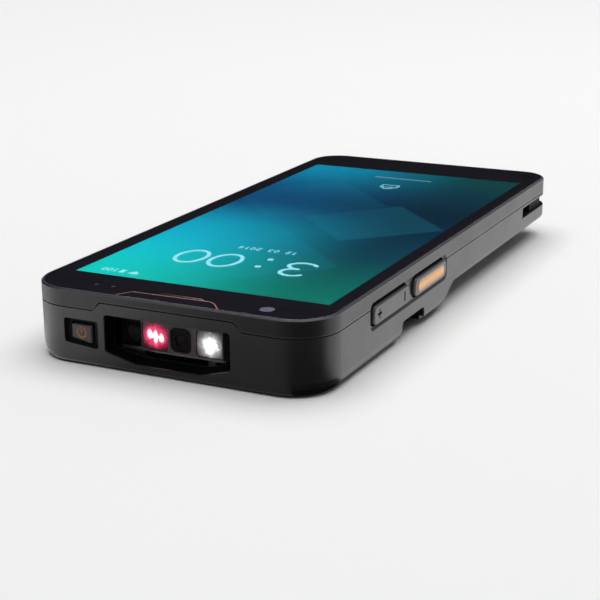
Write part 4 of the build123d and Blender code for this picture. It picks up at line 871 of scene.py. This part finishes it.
def stroke_outline(points, half_width, steps=BRUSH_STEPS):
    """Discs and bars that together draw a stroke: a list of closed outlines, anticlockwise."""
    outlines = []
    for x, y in points:
        outlines.append([
            (x + half_width * cos(2 * pi * i / steps), y + half_width * sin(2 * pi * i / steps))
            for i in range(steps)
        ])
    for (x0, y0), (x1, y1) in zip(points, points[1:]):
        angle = atan2(y1 - y0, x1 - x0)
        nx = -sin(angle) * half_width
        ny = cos(angle) * half_width
        outlines.append([(x0 - nx, y0 - ny), (x1 - nx, y1 - ny), (x1 + nx, y1 + ny), (x0 + nx, y0 + ny)])
    return outlines


def arc(centre_x, centre_y, radius_x, radius_y, start, end, steps=ARC_STEPS):
    """Points of an elliptical arc; angles in degrees."""
    return [
        (centre_x + radius_x * cos(radians(start + (end - start) * i / steps)),
         centre_y + radius_y * sin(radians(start + (end - start) * i / steps)))
        for i in range(steps + 1)
    ]


print("helpers: stroke_outline, arc")

# %% [markdown]
# ## A thin solid from outlines
# A mark is a few hundredths of a millimetre thick. It could be a single layer of faces, but a solid
# has a true top, bottom and edge, so it stays right when it is exported. Each outline becomes a face
# that is extruded to the mark's upper height, and the piece rides on the terminal's body.


# %% Flat piece
def flat_piece(name, outlines, low, high, material):
    """A thin solid piece from closed outlines in millimetres, between two heights."""
    mesh = bpy.data.meshes.new(name)
    bm = bmesh.new()
    for outline in outlines:
        face = bm.faces.new([bm.verts.new((x * MM, y * MM, low * MM)) for x, y in outline])
        bm.normal_update()
        if face.normal.z > 0:
            face.normal_flip()
        extruded = bmesh.ops.extrude_face_region(bm, geom=[face], use_keep_orig=True)
        for vertex in extruded["geom"]:
            if isinstance(vertex, bmesh.types.BMVert):
                vertex.co.z = high * MM
    bmesh.ops.recalc_face_normals(bm, faces=bm.faces)
    bm.to_mesh(mesh)
    bm.free()
    mesh.materials.append(material)
    piece = bpy.data.objects.new(name, mesh)
    bpy.context.scene.collection.objects.link(piece)
    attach(piece, "terminal_body")
    print("piece", name, "of", len(outlines), "outlines")


print("helper: flat_piece")

# %% [markdown]
# ## Light of the marks
# The marks are lit pixels of the display, in a white with some of the blue round it. A plain emission
# would look like cut paper. The tone drift of the mould grain, at the scale of pixels, breaks it up.

# %% Mark materials
MARK_BASE = (0.02, 0.02, 0.02, 1.0)
PIXEL_SCALE = 3000.0
PIXEL_DIM = 0.86


def glowing_mark(name, colour, strength):
    """A lit mark on the screen, with a slight unevenness of the pixels behind it."""
    material, tree, shader = new_material(name, Base_Color=MARK_BASE, Emission_Strength=strength)
    pixels = add(tree, "ShaderNodeGroup", node_tree=GRAIN, Drift=PIXEL_SCALE).outputs["Tone"]
    dim = opaque(x * PIXEL_DIM for x in colour)
    join(tree, mix_colour(tree, pixels, dim, opaque(colour)), shader.inputs["Emission Color"])
    return material


MARK_WHITE = glowing_mark("mark_white", (0.33, 0.86, 1.0), strength=1.3)
MARK_SOFT = glowing_mark("mark_soft", (0.25, 0.72, 0.88), strength=0.6)
print("materials", MARK_WHITE.name, MARK_SOFT.name)

# %% [markdown]
# ## Digits
# Each digit is a few strokes in a square from 0 to 1, so one table serves the large clock and the
# small rows alike. The screen is read from the tail end: its right is towards -X and its top is
# towards the head, and both directions are turned round where a digit is placed.

# %% Digits
MARK_LOW = 16.52
MARK_HIGH = 16.56
DIGIT_STROKES = {
    "0": [arc(0.5, 0.5, 0.36, 0.5, 0, 360, 28)],
    "1": [[(0.25, 0.8), (0.55, 1.0), (0.55, 0.0)]],
    "2": [arc(0.5, 0.7, 0.34, 0.3, 170, -30, 12) + [(0.14, 0.0), (0.86, 0.0)]],
    "3": [arc(0.46, 0.745, 0.3, 0.255, 150, -90, 14), arc(0.46, 0.245, 0.34, 0.245, 90, -150, 14)],
    "4": [[(0.7, 0.0), (0.7, 1.0), (0.12, 0.3), (0.9, 0.3)]],
}


def digit_outlines(digit, start_x, foot_y, width, height, half_width):
    """Outlines of one digit. start_x is its first edge in reading, so x falls from there."""
    outlines = []
    for stroke in DIGIT_STROKES[digit]:
        points = [(start_x - u * width, foot_y - v * height) for u, v in stroke]
        outlines += stroke_outline(points, half_width)
    return outlines


def screen_mark(name, outlines, material=MARK_WHITE):
    """A lit mark just above the display."""
    flat_piece(name, outlines, MARK_LOW, MARK_HIGH, material)


print("digits", sorted(DIGIT_STROKES))

# %% [markdown]
# ## The clock
# Large thin digits show the time, three o'clock, with two round dots as the colon. One mesh could
# hold them all, but digits that are pieces of their own are easy to set to another time.

# %% Clock
CLOCK_FOOT = -37.95
CLOCK_HEIGHT = 10.75
CLOCK_WIDTH = 10.0
CLOCK_STROKE = 0.5
COLON_X = 4.45
COLON_DOTS = (-38.4, -44.9)
COLON_RADIUS = 0.8
COLON_STEPS = 16
# Each digit: which one, where its first edge lies, and the number of its piece.
CLOCK_DIGITS = (("3", 18.6, 1), ("0", 0.0, 2), ("0", -9.1, 3))
for digit, start_x, index in CLOCK_DIGITS:
    outlines = digit_outlines(digit, start_x, CLOCK_FOOT, CLOCK_WIDTH, CLOCK_HEIGHT, CLOCK_STROKE)
    screen_mark("clock_digit_%d" % index, outlines)
colon = []
for dot_y in COLON_DOTS:
    colon += stroke_outline([(COLON_X, dot_y)], COLON_RADIUS, COLON_STEPS)
screen_mark("clock_colon", colon)

# %% [markdown]
# ## Rows of small digits
# Below the clock a row of small digits stands for the date, and at the top right three digits give
# the charge of the battery. The clock's digits scaled down would be far too thin, so both rows take
# the same strokes with a brush of their own.

# %% Small digits
SMALL_WIDTH = 1.3
SMALL_HEIGHT = 1.9
STATUS_FOOT = -60.2


def digit_row(text, start_x, foot_y, step, half_width):
    """Outlines of a row of small digits; a blank leaves its place empty."""
    outlines = []
    for index, digit in enumerate(text):
        if digit != " ":
            place_x = start_x - index * step
            outlines += digit_outlines(digit, place_x, foot_y, SMALL_WIDTH, SMALL_HEIGHT, half_width)
    return outlines


screen_mark("date_row", digit_row("12 03 2014", 7.9, -30.4, step=1.6, half_width=0.13))
screen_mark("battery_percent", digit_row("100", -23.4, STATUS_FOOT, step=1.5, half_width=0.14))

# %% [markdown]
# ## Battery and signal signs
# A status row has small solid signs. The battery is a tall block with a narrower cap, and the signal
# is a fan that opens towards the head. Both are closed outlines, with no brush needed.

# %% Status signs
BATTERY_BLOCK = [(-21.5, STATUS_FOOT), (-22.7, STATUS_FOOT), (-22.7, -62.2), (-21.5, -62.2)]
BATTERY_CAP = [(-21.8, -62.2), (-22.4, -62.2), (-22.4, -62.5), (-21.8, -62.5)]
FAN_FOOT = (-18.8, STATUS_FOOT)
FAN_REACH = 2.2
signal_fan = [FAN_FOOT] + arc(*FAN_FOOT, FAN_REACH, FAN_REACH, start=-50, end=-130, steps=10)
screen_mark("battery_sign", [BATTERY_BLOCK, BATTERY_CAP])
screen_mark("signal_sign", [signal_fan])

# %% [markdown]
# ## Padlock and handle bar
# A locked screen shows a padlock, here a flat case with a bow over it, and below it a bar to swipe
# from. Plain outlines would end in sharp corners, while the brush gives both the rounded ends of the
# digits. The bar is dimmer than the rest.

# %% Lock marks
PADLOCK_CASE = [(2.1, 43.9), (2.1, 46.6), (-2.7, 46.6), (-2.7, 43.9), (2.1, 43.9)]
PADLOCK_BOW = arc(-0.3, 43.9, 1.5, 1.9, start=180, end=360, steps=12)
HANDLE_BAR = [(8.0, 55.5), (-9.0, 55.5)]
CASE_STROKE = 0.24
BOW_STROKE = 0.22
BAR_STROKE = 0.4
padlock = stroke_outline(PADLOCK_CASE, CASE_STROKE) + stroke_outline(PADLOCK_BOW, BOW_STROKE)
screen_mark("padlock_sign", padlock)
screen_mark("handle_bar", stroke_outline(HANDLE_BAR, BAR_STROKE), MARK_SOFT)

# %% [markdown]
# ## The outline on the head border
# A thin copper line is printed under the glass on the head border and frames a bare field. It could
# be a mask in the border's ink, but so thin a line would need a very fine one. Instead it is a strip
# just above the ink, along a trapezoid with cut corners.

# %% Head outline
OUTLINE_LOW = 16.61
OUTLINE_HIGH = 16.63
OUTLINE_HALF_WIDTH = 0.14
OUTLINE_POINTS = [(-13.2, -77.6), (-11.0, -74.4), (8.2, -73.9), (9.8, -74.9), (12.2, -77.8)]
copper = solid_finish("outline_copper_ink", (0.5, 0.27, 0.22), roughness=0.35, metallic=0.6, edge=0.0)
outline_strip = stroke_outline(OUTLINE_POINTS, OUTLINE_HALF_WIDTH)
flat_piece("head_outline", outline_strip, OUTLINE_LOW, OUTLINE_HIGH, copper)

# %% [markdown]
# ## The floor
# The terminal lies on a pale floor, nearly white to the camera and to mirrored and refracted rays. To
# matt surfaces it sends little light back, as in a room hung with black cloth: that keeps dark plastic
# dark. One plain material could be white or dark but not both, so it tells the rays apart. Far away
# it glows by itself and stays even up to the horizon, while near the terminal it takes the shadow.

# %% Floor
FLOOR_SIDE = 12.0
FLOOR_SEEN = (0.9, 0.9, 0.9, 1.0)
FLOOR_BOUNCE = (0.12, 0.12, 0.12, 1.0)
FLOOR_GLOW_STARTS = 0.2
FLOOR_GLOW_FULL = 1.1


def sharp_ray(tree):
    """A value that is 1 for camera, glossy and transmission rays, and 0 for diffuse rays."""
    path = add(tree, "ShaderNodeLightPath")
    mirrored = calc(tree, "MAXIMUM", path.outputs["Is Glossy Ray"], path.outputs["Is Transmission Ray"])
    return calc(tree, "MAXIMUM", path.outputs["Is Camera Ray"], mirrored)


bpy.ops.mesh.primitive_plane_add(size=FLOOR_SIDE, location=(0, 0, 0))
floor = bpy.context.object
floor.name = "studio_floor"
floor_material, floor_tree, floor_shader = new_material(
    "studio_floor", Roughness=0.9, Specular_IOR_Level=0.0,
)
floor_colour = mix_colour(floor_tree, sharp_ray(floor_tree), FLOOR_BOUNCE, FLOOR_SEEN)
join(floor_tree, floor_colour, floor_shader.inputs["Base Color"])
floor_place = add(floor_tree, "ShaderNodeTexCoord")
from_terminal = add(floor_tree, "ShaderNodeVectorMath", operation="LENGTH")
join(floor_tree, floor_place.outputs["Object"], from_terminal.inputs[0])
far_away = span(floor_tree, from_terminal.outputs["Value"], FLOOR_GLOW_STARTS, FLOOR_GLOW_FULL, smooth=True)
far_glow = add(floor_tree, "ShaderNodeEmission")
join(floor_tree, floor_colour, far_glow.inputs["Color"])
mix_shaders(floor_tree, far_away, floor_shader.outputs[0], far_glow.outputs[0])
floor.data.materials.append(floor_material)
print("floor", FLOOR_SIDE, "m wide")

# %% [markdown]
# ## The surround
# A white surround stands all round, full white to the camera and to mirrors, and only a dim fill for
# matt surfaces. An image of a studio could light the scene too, but its lamps would show in the glass.

# %% World
WHITE = (1.0, 1.0, 1.0, 1.0)
WORLD_FILL = 0.12
world = bpy.data.worlds.new("studio_world")
bpy.context.scene.world = world
world.use_nodes = True
world_tree = world.node_tree
world_tree.nodes.clear()
background = add(world_tree, "ShaderNodeBackground", Color=WHITE)
level = calc(world_tree, "MAXIMUM", sharp_ray(world_tree), WORLD_FILL)
join(world_tree, level, background.inputs["Strength"])
world_output = add(world_tree, "ShaderNodeOutputWorld")
join(world_tree, background.outputs[0], world_output.inputs["Surface"])
print("surround fill", WORLD_FILL)

# %% [markdown]
# ## Two softboxes
# A large lamp overhead makes the soft shadow under the terminal, and one far behind the tail lights
# the long side. Point lamps would throw hard shadows. Area lamps show in gloss as clean rectangles,
# and their brightness is given as it looks in a mirror, where 1 is white, and turned into watts.


# %% Softboxes
def softbox(name, place, target, width, height, radiance):
    """A rectangular area lamp that faces the target; radiance 1 looks white in a mirror."""
    data = bpy.data.lights.new(name, "AREA")
    data.shape = "RECTANGLE"
    data.size = width
    data.size_y = height
    data.energy = radiance * width * height * pi
    lamp = bpy.data.objects.new(name, data)
    facing = (Vector(target) - Vector(place)).to_track_quat("-Z", "Y")
    lamp.matrix_world = Matrix.Translation(place) @ facing.to_matrix().to_4x4()
    bpy.context.scene.collection.objects.link(lamp)
    print("lamp", name, round(data.energy, 2), "W")


softbox("side_softbox", (0.6, 1.3, 0.5), (0.03, 0.0, 0.01), width=1.4, height=1.0, radiance=0.5)
softbox("top_softbox", (0.0, 0.3, 1.6), (0, 0.2, 0), width=2.2, height=2.2, radiance=2.4)

# %% [markdown]
# ## Cards and flags
# Black plastic shows little colour of its own: what the eye sees is the room that it mirrors. So a
# studio shapes it with bright cards and black flags, as lamps alone would leave it flat. A card is a
# plane that glows on its front, seen by glossy surfaces and not by the camera, and feathered along X.


# %% Card maker
def studio_card(name, corners, strength, dark_x, bright_x, dark_level, lights_diffuse):
    """A card that glows on its front, feathered from dark_level at dark_x to full at bright_x."""
    mesh = bpy.data.meshes.new(name)
    mesh.from_pydata(corners, [], [list(range(len(corners)))])
    card = bpy.data.objects.new(name, mesh)
    bpy.context.scene.collection.objects.link(card)
    material, tree, _ = new_material(name)
    feather = calc(tree, "MAXIMUM", span(tree, object_axes(tree)[0], dark_x, bright_x), dark_level)
    glow = add(tree, "ShaderNodeEmission")
    join(tree, calc(tree, "MULTIPLY", feather, strength), glow.inputs["Strength"])
    clear = add(tree, "ShaderNodeBsdfTransparent")
    side = add(tree, "ShaderNodeNewGeometry")
    mix_shaders(tree, side.outputs["Backfacing"], glow.outputs[0], clear.outputs[0])
    mesh.materials.append(material)
    card.visible_camera = False
    card.visible_shadow = False
    card.visible_diffuse = lights_diffuse
    print("card", name, "strength", strength)


print("helper: studio_card")

# %% [markdown]
# ## Bright cards on the floor
# The long side and the head mirror the floor next to them. A card on the right lets the long side
# shine evenly, and one in front on the left puts a soft gradient on the head. Both follow the
# terminal's outline a hair above the floor, so that the plastic is lit right down to its foot.

# %% Bright cards
CARD_LIFT = 0.0005


def on_floor(*corners):
    """Corners of a card that lies just above the floor."""
    return [(x, y, CARD_LIFT) for x, y in corners]


SIDE_FOOT = (0.0372, -0.066)
CORNER_FOOT = (0.055, -0.072)
RIGHT_CARD = on_floor(SIDE_FOOT, CORNER_FOOT, (1.0, 0.1), (1.0, 1.5), (-0.1, 1.5), (0.0372, 0.082))
LEFT_CARD = on_floor(
    (-0.03, -0.078), (-0.04, -0.07), (-0.7, -0.02), (-0.7, -0.5), (0.0, -0.5), (0.03, -0.078),
)
studio_card(
    "right_card", RIGHT_CARD, strength=1.55, dark_x=0.02, bright_x=0.03, dark_level=0.0,
    lights_diffuse=True,
)
studio_card(
    "left_card", LEFT_CARD, strength=1.9, dark_x=-0.004, bright_x=-0.05, dark_level=0.14,
    lights_diffuse=False,
)

# %% [markdown]
# ## Black flags
# The corner between head and side turns nearly black, and the screen keeps its deep colours, because
# neither mirrors anything bright. A flag on the floor darkens the corner, and three upright ones hold
# the white surround off the glass. A flag is a card with next to no glow.

# %% Flags
FLAG_GLOW = 0.005
CORNER_GLOW = 0.01
FLAG_HEIGHT = 2.4
FAR_FLAG_HEIGHT = 3.6


def upright(start, end, height):
    """Corners of a card that stands on the floor between two points."""
    return [(*start, 0.0), (*end, 0.0), (*end, height), (*start, height)]


def black_flag(name, corners, glow):
    """A card of one low level all over, seen only in gloss."""
    studio_card(name, corners, glow, dark_x=0.0, bright_x=1.0, dark_level=1.0, lights_diffuse=False)


CORNER_FLAG = on_floor(SIDE_FOOT, (0.03, -0.078), (0.0, -0.5), (1.0, -0.5), (1.0, 0.1), CORNER_FOOT)
black_flag("corner_flag", CORNER_FLAG, CORNER_GLOW)
black_flag("back_flag", upright((-1.3, 0.75), (-0.05, 1.5), FLAG_HEIGHT), FLAG_GLOW)
black_flag("left_flag", upright((-1.3, -1.2), (-1.3, 0.75), FLAG_HEIGHT), FLAG_GLOW)
black_flag("far_flag", upright((-0.3, 2.6), (1.9, 1.9), FAR_FLAG_HEIGHT), FLAG_GLOW)
bpy.context.scene.view_settings.view_transform = "Standard"
print("view transform", bpy.context.scene.view_settings.view_transform)
